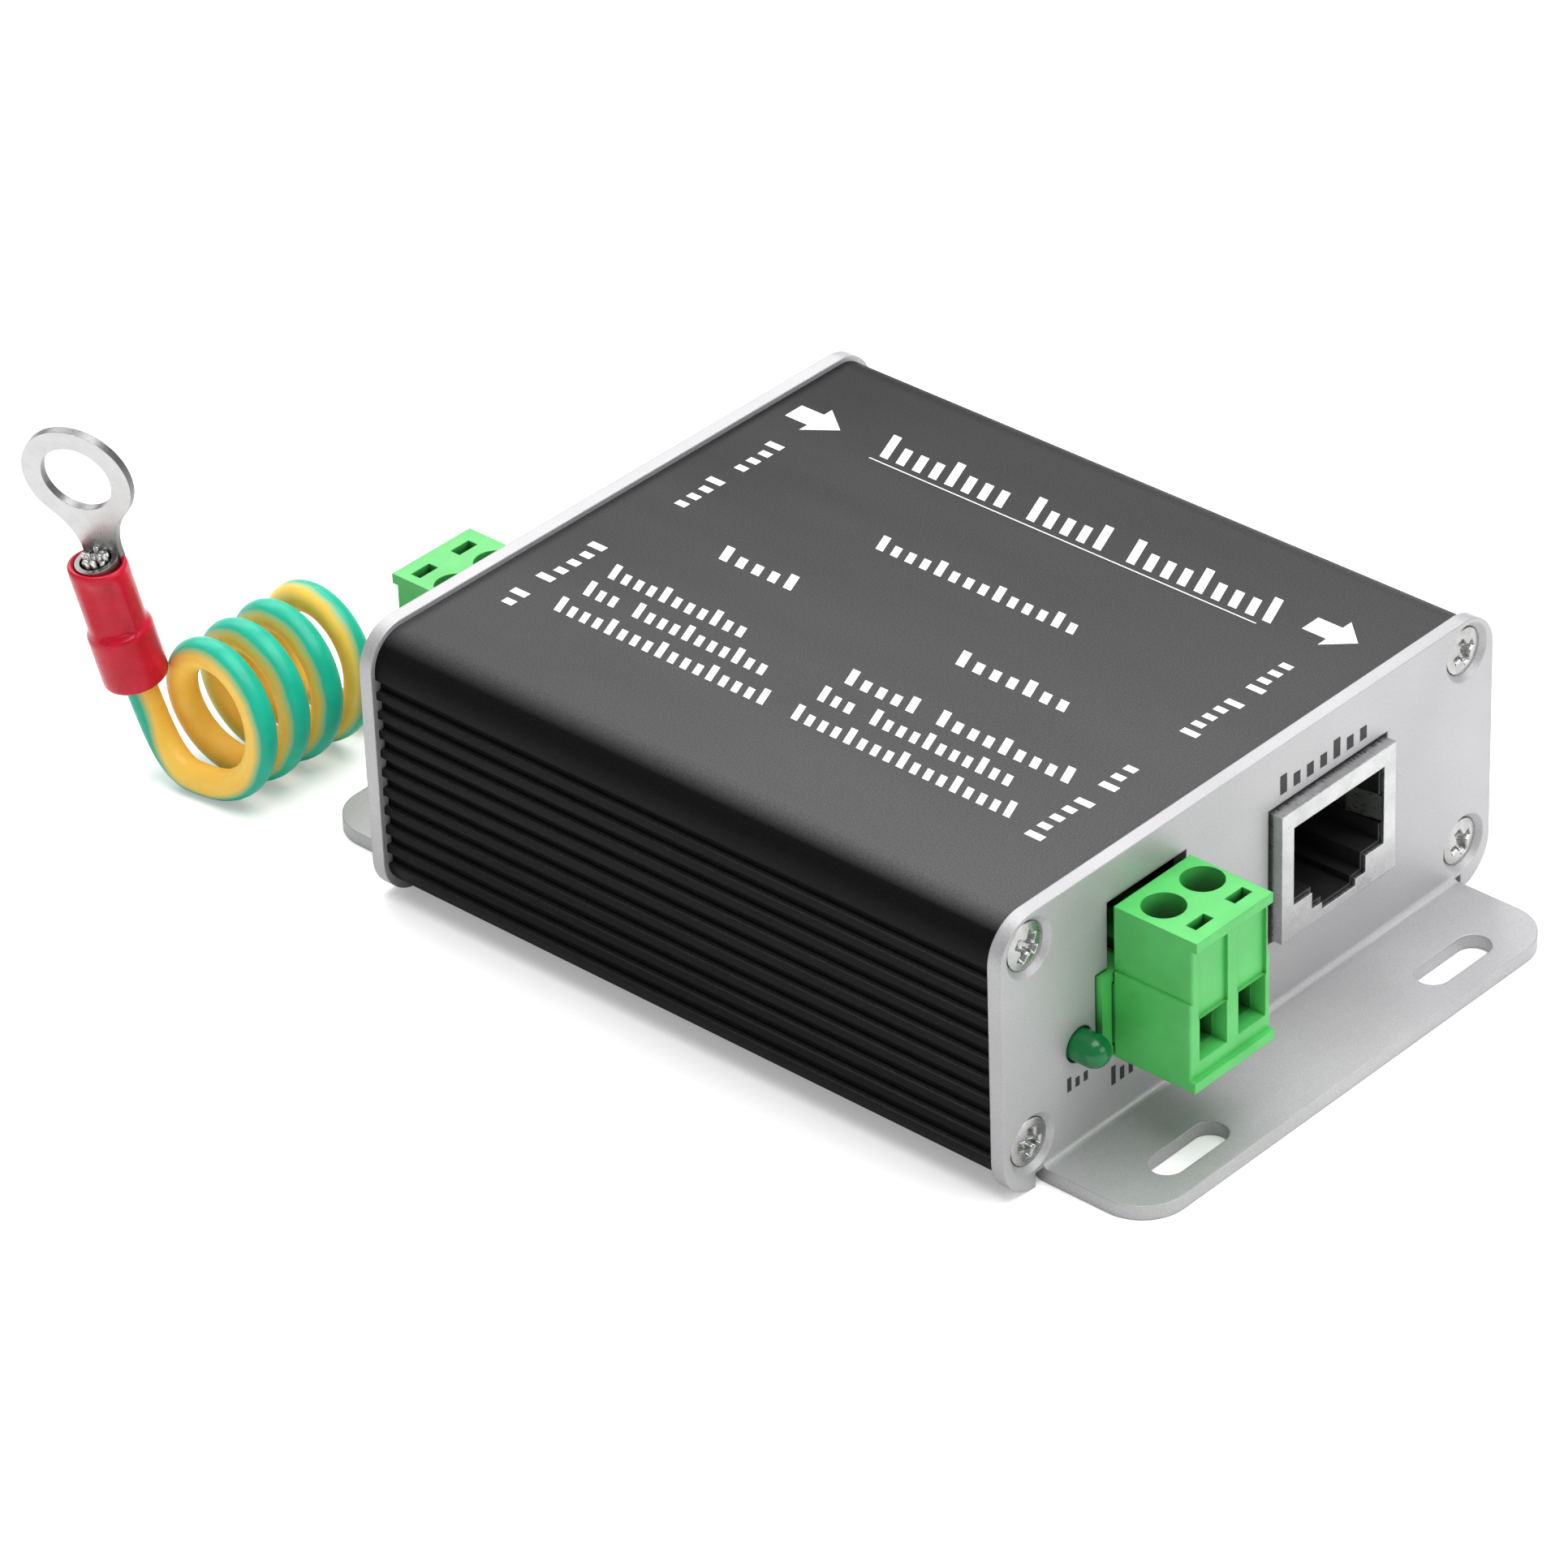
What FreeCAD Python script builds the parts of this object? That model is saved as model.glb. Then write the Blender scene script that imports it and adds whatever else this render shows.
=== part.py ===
import FreeCAD, Part
import math
import os
import Sketcher
from FreeCAD import Placement, Rotation, Vector

# Ethernet surge protector: an aluminium extrusion closed by two bent end plates, with a jack and a
# pluggable terminal at each end and a coiled earth lead. X runs across the end plates, Y along the
# extrusion from the equipment end (out, -Y) to the line end (in, +Y), Z up. The origin is on the
# ground under the middle of the box. All sizes are in millimetres.
DIMENSIONS = {
    # End plates, bent from one sheet
    "plate_width": 66.0,
    "plate_height": 27.7,
    "sheet_thickness": 1.4,
    "plate_corner": 4.0,
    "overall_length": 73.6,
    "flange_width": 56.0,
    "flange_reach": 11.6,
    "flange_corner": 4.5,
    "bend_inside": 0.6,
    "bend_outside": 1.3,
    "relief_width": 1.0,
    "relief_height": 1.4,
    "slot_pitch": 36.2,
    "slot_from_edge": 3.95,
    "slot_length": 9.0,
    "slot_width": 3.3,
    # Plate screws and the ports they bite into
    "screw_pitch_across": 58.6,
    "screw_pitch_up": 19.8,
    "screw_lowest": 4.6,
    "screw_hole": 3.4,
    "screw_dish": 1.15,
    "screw_sunk": 0.45,
    "screw_head": 4.5,
    "screw_shank": 2.7,
    "screw_length": 8.0,
    "cross_span": 2.5,
    "cross_arm": 0.6,
    "cross_depth": 1.0,
    # Extruded housing
    "housing_width": 65.0,
    "housing_bottom": 0.8,
    "housing_height": 26.4,
    "housing_corner": 3.5,
    "groove_pitch": 2.0,
    "groove_count": 10,
    "groove_width": 1.25,
    "groove_depth": 0.6,
    "groove_lowest": 3.9,
    "wall": 1.7,
    "port_boss": 5.9,
    "port_hole": 2.8,
    "rail_depth": 1.2,
    "rail_height": 0.9,
    # Circuit board
    "board_width": 60.2,
    "board_length": 68.6,
    "board_thickness": 1.6,
    "board_top": 8.5,
    # Shielded jack
    "jack_x": 10.1,
    "jack_width": 15.6,
    "jack_height": 13.0,
    "jack_front": 38.05,
    "jack_depth": 21.2,
    "jack_cutout_gap": 0.35,
    "shield_wall": 0.35,
    "port_width": 12.4,
    "port_top": 19.7,
    "port_floor": 11.8,
    "latch_width": 7.4,
    "latch_floor": 10.1,
    "nose_width": 4.6,
    "nose_floor": 9.4,
    "port_depth": 15.0,
    "lining": 0.3,
    "contact_pitch": 1.02,
    "contact_count": 8,
    "contact_width": 0.46,
    "contact_wire": 0.35,
    # Pluggable terminal, two poles
    "plug_x": -14.2,
    "pole_shift": 0.3,
    "pole_pitch": 5.08,
    "plug_front": 46.3,
    "plug_face": 45.8,
    "plug_back_high": 37.4,
    "plug_back_low": 37.6,
    "plug_bottom": 8.5,
    "plug_top": 23.5,
    "plug_step": 17.15,
    "plug_width_low": 10.5,
    "plug_width_high": 10.0,
    "lip": 1.0,
    "nose_back": 29.3,
    "nose_low": 9.75,
    "nose_high": 15.85,
    "nose_wide": 10.3,
    "plug_clearance": 0.2,
    "corner_round": 0.2,
    "entry_width": 3.6,
    "entry_low": 11.0,
    "entry_high": 15.25,
    "entry_funnel": 1.4,
    "entry_throat": 3.0,
    "panel_width": 3.8,
    "panel_high": 22.1,
    "panel_depth": 0.35,
    "well_y": 40.5,
    "well_bore": 3.9,
    "probe_y": 44.35,
    "probe_wide": 2.3,
    "probe_deep": 1.1,
    # Cage clamp and its screw
    "cage_width": 3.9,
    "cage_depth": 3.2,
    "cage_bottom": 10.3,
    "cage_height": 6.0,
    "cage_side": 0.7,
    "cage_floor": 0.8,
    "cage_roof": 1.2,
    "clamp_screw_bore": 2.5,
    "clamp_screw_head": 3.6,
    "clamp_head_low": 18.8,
    "clamp_head_high": 20.1,
    "clamp_slot": 0.7,
    "strip_low": 14.5,
    "strip_thickness": 0.5,
    "strip_width": 2.3,
    "socket_size": 2.1,
    "socket_z": 12.7,
    "socket_bore": 1.2,
    # Board header that takes the plug
    "header_width": 13.2,
    "header_front": 37.4,
    "header_depth": 12.0,
    "header_top": 17.0,
    "header_cavity_width": 10.7,
    "header_cavity_low": 9.6,
    "header_cavity_high": 16.0,
    "header_cavity_depth": 10.0,
    "pin_size": 1.0,
    "pin_tip": 34.5,
    "pin_bend": 24.6,
    # Indicator
    "led_x": -23.1,
    "led_z": 11.4,
    "led_bore": 3.4,
    "led_radius": 1.5,
    "led_reach": 39.9,
    "led_flange": 1.9,
    # Earth lead
    "wire_bore": 2.95,
    "wire_exit_x": -2.5,
    "wire_exit_z": 10.5,
    "wire_exit_start": 29.0,
    "grommet_bore": 3.1,
    "grommet_waist": 5.2,
    "grommet_rim": 6.6,
    "coil_radius": 6.1,
    "coil_y": 60.0,
    "coil_z": 7.6,
    "coil_near": -28.6,
    "coil_far": -12.2,
    # Ring terminal on the lead's end
    "sleeve_length": 12.6,
    "sleeve_mouth": 5.6,
    "sleeve_waist": 5.2,
    "sleeve_skirt": 6.2,
    "sleeve_bore": 4.1,
    "barrel_bore": 3.0,
    "barrel_outside": 4.0,
    "barrel_length": 5.0,
    "barrel_proud": 0.9,
    "ring_offset": 9.18,
    "ring_hollow": 6.0,
    "ring_hole": 6.9,
    "ring_outside": 10.8,
    "ring_thickness": 0.8,
    "ring_neck": 3.7,
}

doc = FreeCAD.newDocument("surge_protector")
sheet = doc.addObject("Spreadsheet::Sheet", "sizes")
parts = []


class Size:
    """A length that carries its spreadsheet formula beside its value."""

    def __init__(self, value, text):
        self.value = value
        self.text = text

    def joined(self, other, sign, value):
        return Size(value, f"({self.text} {sign} {other.text})")

    def __add__(self, other):
        other = sized(other)
        return self.joined(other, "+", self.value + other.value)

    def __sub__(self, other):
        other = sized(other)
        return self.joined(other, "-", self.value - other.value)

    def __mul__(self, other):
        other = sized(other)
        return self.joined(other, "*", self.value * other.value)

    def __truediv__(self, other):
        other = sized(other)
        return self.joined(other, "/", self.value / other.value)

    def __neg__(self):
        return sized(0) - self

    def __radd__(self, other):
        return sized(other) + self

    def __rsub__(self, other):
        return sized(other) - self

    def __rmul__(self, other):
        return sized(other) * self


class Sizes:
    """Reads the sheet by alias: dim.plate_width is that cell."""

    def __getattr__(self, alias):
        return Size(float(sheet.get(alias)), "sizes." + alias)


dim = Sizes()


def sized(number):
    if isinstance(number, Size):
        return number
    return Size(float(number), repr(float(number)))


def fill_sheet():
    for row, (alias, value) in enumerate(DIMENSIONS.items(), start=1):
        sheet.set(f"A{row}", alias)
        sheet.set(f"B{row}", str(value))
        sheet.setAlias(f"B{row}", alias)
    doc.recompute()


def bind(feature, name, size):
    feature.setExpression(name, sized(size).text)


# Sketch and feature helpers


def new_body(label):
    body = doc.addObject("PartDesign::Body", label)
    body.Label = label
    body.AllowCompound = True
    return body


def origin_part(body, role):
    return next(item for item in body.Origin.OriginFeatures if item.Role == role)


def sketch_on(body, role, offset=0, shift_x=0, shift_y=0):
    sketch = body.newObject("Sketcher::SketchObject", body.Name + "_sketch")
    sketch.AttachmentSupport = [(origin_part(body, role), "")]
    sketch.MapMode = "FlatFace"
    base = Vector(sized(shift_x).value, sized(shift_y).value, sized(offset).value)
    sketch.AttachmentOffset = Placement(base, Rotation())
    bind(sketch, "AttachmentOffset.Base.x", shift_x)
    bind(sketch, "AttachmentOffset.Base.y", shift_y)
    bind(sketch, "AttachmentOffset.Base.z", offset)
    return sketch


def constrain(sketch, constraint, size):
    index = sketch.addConstraint(constraint)
    bind(sketch, f"Constraints[{index}]", size)


def pin_point(sketch, line, vertex, x, y):
    x, y = sized(x), sized(y)
    constrain(sketch, Sketcher.Constraint("DistanceX", -1, 1, line, vertex, x.value), x)
    constrain(sketch, Sketcher.Constraint("DistanceY", -1, 1, line, vertex, y.value), y)


def outline(sketch, corners):
    """Adds a closed outline of straight lines with every corner bound to the sheet."""
    points = [Vector(sized(x).value, sized(y).value, 0) for x, y in corners]
    first = sketch.GeometryCount
    count = len(corners)
    for index in range(count):
        sketch.addGeometry(Part.LineSegment(points[index], points[(index + 1) % count]), False)
    for index, (x, y) in enumerate(corners):
        after = first + (index + 1) % count
        sketch.addConstraint(Sketcher.Constraint("Coincident", first + index, 2, after, 1))
        pin_point(sketch, first + index, 1, x, y)


def rectangle(sketch, left, right, low, high):
    outline(sketch, [(left, low), (right, low), (right, high), (left, high)])


def circle(sketch, x, y, diameter):
    centre = Vector(sized(x).value, sized(y).value, 0)
    radius = sized(diameter) / 2
    index = sketch.addGeometry(Part.Circle(centre, Vector(0, 0, 1), radius.value), False)
    pin_point(sketch, index, 3, x, y)
    constrain(sketch, Sketcher.Constraint("Radius", index, radius.value), radius)


def slot(sketch, x, y, length, width):
    """A round-ended slot along the sketch's X axis."""
    radius = width / 2
    reach = length / 2 - radius
    left, right = x - reach, x + reach
    up = Vector(0, 0, 1)
    ends = [Part.Circle(Vector(side.value, y.value, 0), up, radius.value) for side in (left, right)]
    quarter = math.pi / 2
    a = sketch.addGeometry(Part.ArcOfCircle(ends[0], quarter, 3 * quarter), False)
    b = sketch.addGeometry(Part.ArcOfCircle(ends[1], -quarter, quarter), False)
    low, high = y.value - radius.value, y.value + radius.value
    under = Part.LineSegment(Vector(left.value, low, 0), Vector(right.value, low, 0))
    over = Part.LineSegment(Vector(right.value, high, 0), Vector(left.value, high, 0))
    c = sketch.addGeometry(under, False)
    d = sketch.addGeometry(over, False)
    for first, end, second, start in ((a, 2, c, 1), (c, 2, b, 1), (b, 2, d, 1), (d, 2, a, 1)):
        sketch.addConstraint(Sketcher.Constraint("Tangent", first, end, second, start))
    pin_point(sketch, a, 3, left, y)
    pin_point(sketch, b, 3, right, y)
    constrain(sketch, Sketcher.Constraint("Radius", a, radius.value), radius)
    sketch.addConstraint(Sketcher.Constraint("Equal", a, b))


def volume(body):
    doc.recompute()
    return body.Shape.Volume


def pad(body, sketch, length, reverse=False):
    feature = body.newObject("PartDesign::Pad", body.Name + "_pad")
    feature.Profile = sketch
    feature.Reversed = reverse
    feature.Refine = True
    bind(feature, "Length", length)
    doc.recompute()
    return feature


def pocket(body, sketch, depth, reverse=False, taper=0):
    """Cuts a sketch's outline into the body and makes sure that something was cut."""
    before = volume(body)
    feature = body.newObject("PartDesign::Pocket", body.Name + "_pocket")
    feature.Profile = sketch
    feature.Reversed = reverse
    feature.TaperAngle = taper
    bind(feature, "Length", depth)
    if volume(body) > before - 1e-6:
        raise RuntimeError(f"{feature.Name} cuts nothing")
    return feature


def revolve(body, sketch, axis):
    feature = body.newObject("PartDesign::Revolution", body.Name + "_turn")
    feature.Profile = sketch
    feature.ReferenceAxis = (sketch, [axis])
    feature.Angle = 360
    doc.recompute()
    return feature


def repeat(body, feature, role, pitch, count):
    """Repeats a feature in a line along one of the body's own axes."""
    pitch, count = sized(pitch), sized(count)
    pattern = body.newObject("PartDesign::LinearPattern", body.Name + "_row")
    pattern.Originals = [feature]
    pattern.Direction = (origin_part(body, role), [""])
    bind(pattern, "Length", pitch * (count - 1))
    bind(pattern, "Occurrences", count)
    body.Tip = pattern
    doc.recompute()
    return pattern


def edges_where(body, test):
    doc.recompute()
    edges = body.Tip.Shape.Edges
    return [f"Edge{number}" for number, edge in enumerate(edges, start=1) if test(edge)]


def dress(body, kind, radius, test):
    """Rounds or bevels the edges that pass the test."""
    names = edges_where(body, test)
    under = body.Tip
    if not names:
        raise RuntimeError(f"no edges to dress on {body.Label}")
    feature = body.newObject("PartDesign::" + kind, body.Name + "_" + kind.lower())
    feature.Base = (under, names)
    bind(feature, "Radius" if kind == "Fillet" else "Size", radius)
    doc.recompute()
    return feature


def runs_along(edge, axis):
    if len(edge.Vertexes) < 2:
        return False
    step = edge.Vertexes[1].Point - edge.Vertexes[0].Point
    straight = isinstance(edge.Curve, Part.Line)
    return straight and abs(step.normalize().dot(axis)) > 0.999


def near(value, size):
    return abs(value - sized(size).value) < 0.01


def keep(body, turned=False, about=0):
    """Ends a sub-part; the line-end copy is turned half round about a vertical line at X."""
    if turned:
        body.Placement = Placement(Vector(2 * sized(about).value, 0, 0), Rotation(Vector(0, 0, 1), 180))
    parts.append(body)
    return body


def group(label, shapes):
    """Like pieces that share one file, as separate solids."""
    feature = doc.addObject("Part::Feature", label)
    feature.Label = label
    feature.Shape = shapes[0] if len(shapes) == 1 else Part.makeCompound(shapes)
    parts.append(feature)
    return feature


X_AXIS, Y_AXIS, Z_AXIS = Vector(1, 0, 0), Vector(0, 1, 0), Vector(0, 0, 1)


# Extruded housing


def housing():
    body = new_body("housing_extrusion")
    length = dim.overall_length - 2 * dim.sheet_thickness
    end = length / 2
    half = dim.housing_width / 2
    low, high = dim.housing_bottom, dim.housing_bottom + dim.housing_height
    profile = sketch_on(body, "XZ_Plane", -end)
    rectangle(profile, -half, half, low, high)
    pad(body, profile, length)
    dress(body, "Fillet", dim.housing_corner, lambda edge: runs_along(edge, Y_AXIS))
    groove = sketch_on(body, "XZ_Plane", end)
    top = dim.groove_lowest + dim.groove_width
    rectangle(groove, -half - 1, -half + dim.groove_depth, dim.groove_lowest, top)
    rectangle(groove, half - dim.groove_depth, half + 1, dim.groove_lowest, top)
    cut = pocket(body, groove, length)
    repeat(body, cut, "Z_Axis", dim.groove_pitch, dim.groove_count)
    hollow(body, end, length)
    screw_ports(body, end, length)
    return keep(body)


def hollow(body, end, length):
    """The space inside, with a boss in each corner and rails that hold the board."""
    side = dim.housing_width / 2 - dim.groove_depth - dim.wall
    boss = dim.housing_width / 2 - dim.port_boss
    low = dim.housing_bottom + dim.wall
    high = dim.housing_bottom + dim.housing_height - dim.wall
    seat = dim.board_top - dim.board_thickness
    rail = dim.board_top + 0.1
    rail_top = rail + dim.rail_height
    boss_top = high - dim.port_boss + dim.wall
    edge = side - dim.rail_depth
    right = [(boss, low), (boss, seat), (side, seat), (side, rail), (edge, rail)]
    right += [(edge, rail_top), (side, rail_top), (side, boss_top), (boss, boss_top), (boss, high)]
    left = [(-x, z) for x, z in reversed(right)]
    space = sketch_on(body, "XZ_Plane", end)
    outline(space, right + left)
    pocket(body, space, length)


def screw_places():
    """The four plate screws, as X and Z."""
    x = dim.screw_pitch_across / 2
    low, high = dim.screw_lowest, dim.screw_lowest + dim.screw_pitch_up
    return [(-x, low), (x, low), (-x, high), (x, high)]


def screw_ports(body, end, length):
    holes = sketch_on(body, "XZ_Plane", end)
    for x, z in screw_places():
        circle(holes, x, z, dim.port_hole)
    pocket(body, holes, length)


# Bent end plates


def end_plate(label, line_end):
    """A plate modelled at the equipment end; the line end's plate is the same, turned half round."""
    body = new_body(label)
    outer = dim.overall_length / 2
    inner = outer - dim.sheet_thickness
    side = -1 if line_end else 1
    half = dim.plate_width / 2
    upright = sketch_on(body, "XZ_Plane", inner)
    rectangle(upright, -half, half, 0, dim.plate_height)
    pad(body, upright, dim.sheet_thickness)
    dress(body, "Fillet", dim.plate_corner, lambda edge: runs_along(edge, Y_AXIS))
    add_flange(body, outer, inner)
    cut_relief(body, outer)
    cut_slots(body, outer)
    cut_face(body, outer, side, line_end)
    return keep(body, line_end)


def add_flange(body, outer, inner):
    half = dim.flange_width / 2
    edge = outer + dim.flange_reach
    flat = sketch_on(body, "XY_Plane")
    rectangle(flat, -half, half, -edge, -outer + 0.2)
    pad(body, flat, dim.sheet_thickness)

    def at_corner(each):
        return runs_along(each, Z_AXIS) and near(each.Vertexes[0].Y, -edge)

    def in_bend(each):
        point = each.Vertexes[0]
        return runs_along(each, X_AXIS) and near(point.Y, -outer) and near(point.Z, dim.sheet_thickness)

    dress(body, "Fillet", dim.flange_corner, at_corner)
    dress(body, "Fillet", dim.bend_inside, in_bend)


def cut_relief(body, outer):
    """Notches beside the bend, then the rounded outside of the bend between them."""
    half = dim.flange_width / 2
    deep = 2 * dim.sheet_thickness
    notch = sketch_on(body, "XZ_Plane", outer + 0.2)
    for side in (-1, 1):
        ends = sorted((side * half, side * (half + dim.relief_width)), key=lambda size: size.value)
        rectangle(notch, ends[0], ends[1], -1, dim.relief_height)
    pocket(body, notch, deep)

    def outside_bend(each):
        point = each.Vertexes[0]
        wide = each.Length > dim.flange_width.value - 1
        return wide and runs_along(each, X_AXIS) and near(point.Z, 0) and point.Y > -outer.value

    dress(body, "Fillet", dim.bend_outside, outside_bend)


def cut_slots(body, outer):
    y = -(outer + dim.flange_reach - dim.slot_from_edge)
    sketch = sketch_on(body, "XY_Plane", dim.sheet_thickness)
    for side in (-1, 1):
        slot(sketch, side * dim.slot_pitch / 2, y, dim.slot_length, dim.slot_width)
    pocket(body, sketch, dim.sheet_thickness)


def cut_face(body, outer, side, line_end):
    """The openings in the upright plate: jack, terminal, screws, and indicator or earth lead."""
    sketch = sketch_on(body, "XZ_Plane", outer)
    gap = dim.jack_cutout_gap
    jack, plug = side * dim.jack_x, side * dim.plug_x
    half = dim.jack_width / 2 + gap
    low = dim.board_top - gap
    rectangle(sketch, jack - half, jack + half, low, low + dim.jack_height + 2 * gap)
    wide = dim.header_width / 2 + dim.plug_clearance
    slim = dim.plug_width_high / 2 + dim.plug_clearance
    step, top = dim.header_top + dim.plug_clearance, dim.plug_top + dim.plug_clearance
    corners = [(plug - wide, low), (plug + wide, low), (plug + wide, step), (plug + slim, step)]
    corners += [(plug + slim, top), (plug - slim, top), (plug - slim, step), (plug - wide, step)]
    outline(sketch, corners)
    for x, z in screw_places():
        circle(sketch, x, z, dim.screw_hole)
    if line_end:
        circle(sketch, -dim.wire_exit_x, dim.wire_exit_z, dim.grommet_waist + 0.1)
    else:
        circle(sketch, dim.led_x, dim.led_z, dim.led_bore)
    pocket(body, sketch, dim.sheet_thickness)

    def dish_edge(each):
        if not isinstance(each.Curve, Part.Circle):
            return False
        centre = each.Curve.Center
        return near(abs(centre.x), dim.screw_pitch_across / 2) and near(centre.y, -outer)

    dress(body, "Chamfer", dim.screw_dish, dish_edge)


def plate_screw():
    """One countersunk screw at the origin, head towards -Y."""
    body = new_body("plate_screw")
    profile = sketch_on(body, "YZ_Plane")
    head, shank = dim.screw_head / 2, dim.screw_shank / 2
    neck = head - shank
    tip = dim.screw_length
    corners = [(0, 0), (tip, 0), (tip, shank - 0.3), (tip - 0.5, shank)]
    outline(profile, corners + [(neck, shank), (0, head)])
    revolve(body, profile, "H_Axis")
    cross = sketch_on(body, "XZ_Plane")
    arm, reach = dim.cross_arm / 2, dim.cross_span / 2
    corner = [(reach, arm), (arm, arm), (arm, reach)]
    upper = corner + [(-x, z) for x, z in reversed(corner)]
    outline(cross, upper + [(-x, -z) for x, z in upper])
    pocket(body, cross, dim.cross_depth, taper=-8)
    return body


def plate_screws(master, label, turned):
    """Four copies, each stopped at its own angle."""
    angles = (12, 68, 35, -20)
    shapes = []
    for (x, z), angle in zip(screw_places(), angles):
        depth = dim.overall_length / 2 - dim.screw_sunk
        copy = master.Shape.copy()
        copy.rotate(Vector(0, 0, 0), Y_AXIS, angle)
        copy.translate(Vector(x.value, -depth.value, z.value))
        if turned:
            copy.rotate(Vector(0, 0, 0), Z_AXIS, 180)
        shapes.append(copy)
    return group(label, shapes)


# Circuit board and what stands on it


def circuit_board():
    body = new_body("circuit_board")
    sketch = sketch_on(body, "XY_Plane", dim.board_top - dim.board_thickness)
    half, end = dim.board_width / 2, dim.board_length / 2
    rectangle(sketch, -half, half, -end, end)
    for side in (-1, 1):
        for offset in (-1, 1):
            x = dim.plug_x - side * dim.pole_shift + offset * dim.pole_pitch / 2
            circle(sketch, x, side * dim.pin_bend, dim.pin_size + 0.6)
        for offset in (-1, 1):
            circle(sketch, dim.jack_x + offset * 5.7, side * (dim.jack_front - 9), 3.3)
    pad(body, sketch, dim.board_thickness)
    return keep(body)


def block(body, left, right, front, back, low, height):
    """A pad between two X values and two Y values."""
    sketch = sketch_on(body, "XY_Plane", low)
    rectangle(sketch, left, right, front, back)
    return pad(body, sketch, height)


def line_gas_tubes():
    """Four three-pole gas discharge tubes lying across the board, one to each pair."""
    body = new_body("line_gas_tubes")
    radius, length, pitch = 2.5, 7.6, 7.0
    first = -1.5 * pitch
    profile = sketch_on(body, "YZ_Plane", 12, first, dim.board_top + radius + 0.25)
    circle(profile, 0, 0, 2 * radius)
    tube = pad(body, profile, length)
    repeat(body, tube, "Y_Axis", pitch, 4)
    for x in (14.2, 18.0):
        ring = sketch_on(body, "YZ_Plane", x, first, dim.board_top + radius + 0.25)
        circle(ring, 0, 0, 2 * radius + 0.5)
        circle(ring, 0, 0, 2 * radius - 1)
        band = pad(body, ring, 0.8)
        repeat(body, band, "Y_Axis", pitch, 4)
    return keep(body)


def suppressor_arrays():
    """Four diode arrays in small outline packages, one to each pair."""
    body = new_body("suppressor_arrays")
    first = block(body, 4, 8, -12.9, -8.1, dim.board_top + 0.1, 1.5)
    repeat(body, first, "Y_Axis", 7.0, 4)
    legs = sketch_on(body, "XY_Plane", dim.board_top)
    for x in (2.8, 7.9):
        for step in range(4):
            y = -12.6 + 1.27 * step
            rectangle(legs, x, x + 1.3, y, y + 0.4)
    leads = pad(body, legs, 0.5)
    repeat(body, leads, "Y_Axis", 7.0, 4)
    return keep(body)


def decoupling_resistors():
    """Eight small resistors between the two stages of protection."""
    body = new_body("decoupling_resistors")
    first = block(body, 9.3, 11.3, -12.4, -11.2, dim.board_top, 0.6)
    repeat(body, first, "Y_Axis", 3.2, 8)
    return keep(body)


def power_varistors():
    """Three disc varistors between the supply poles and earth, with their leads."""
    body = new_body("power_varistors")
    centre = dim.board_top + 6.2
    disc = sketch_on(body, "XZ_Plane", 6, -20, centre)
    circle(disc, 0, 0, 9.5)
    first = pad(body, disc, 3.4, reverse=True)
    repeat(body, first, "Y_Axis", 6.0, 3)
    legs = sketch_on(body, "XY_Plane", dim.board_top)
    for y in (-4.3, 1.7, 7.7):
        for x in (-22.5, -17.5):
            rectangle(legs, x - 0.3, x + 0.3, y - 0.3, y + 0.3)
    pad(body, legs, 2.6)
    return keep(body)


def power_gas_tube():
    """One larger two-pole gas discharge tube from the supply to earth."""
    body = new_body("power_gas_tube")
    cap_radius = 4.3
    profile = sketch_on(body, "YZ_Plane", -14, 0, dim.board_top + cap_radius)
    circle(profile, 0, 0, 8)
    pad(body, profile, 5.6)
    for x in (-14, -9.2):
        cap = sketch_on(body, "YZ_Plane", x, 0, dim.board_top + cap_radius)
        circle(cap, 0, 0, 2 * cap_radius)
        pad(body, cap, 0.8)
    return keep(body)


def thermal_fuses():
    """Two axial thermal fuses in series with the supply, end to end beside the varistors."""
    body = new_body("thermal_fuses")
    radius = 1.7
    for y in (-13, 4):
        tube = sketch_on(body, "XZ_Plane", -y, -27, dim.board_top + radius)
        circle(tube, 0, 0, 2 * radius)
        pad(body, tube, 9, reverse=True)
        lead = sketch_on(body, "XZ_Plane", 2 - y, -27, dim.board_top + radius)
        circle(lead, 0, 0, 0.8)
        pad(body, lead, 13, reverse=True)
    return keep(body)


def indicator():
    """A lamp with a domed lens through the plate, and its two legs bent down to the board."""
    body = new_body("status_led")
    profile = sketch_on(body, "YZ_Plane", dim.led_x, 0, dim.led_z)
    radius = dim.led_radius
    start = dim.overall_length / 2 - dim.sheet_thickness - 1.4
    shoulder = start + 1.0
    tip = dim.led_reach
    lens_turn(profile, start, shoulder, tip, radius)
    revolve(body, profile, "H_Axis")
    return keep(body)


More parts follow.
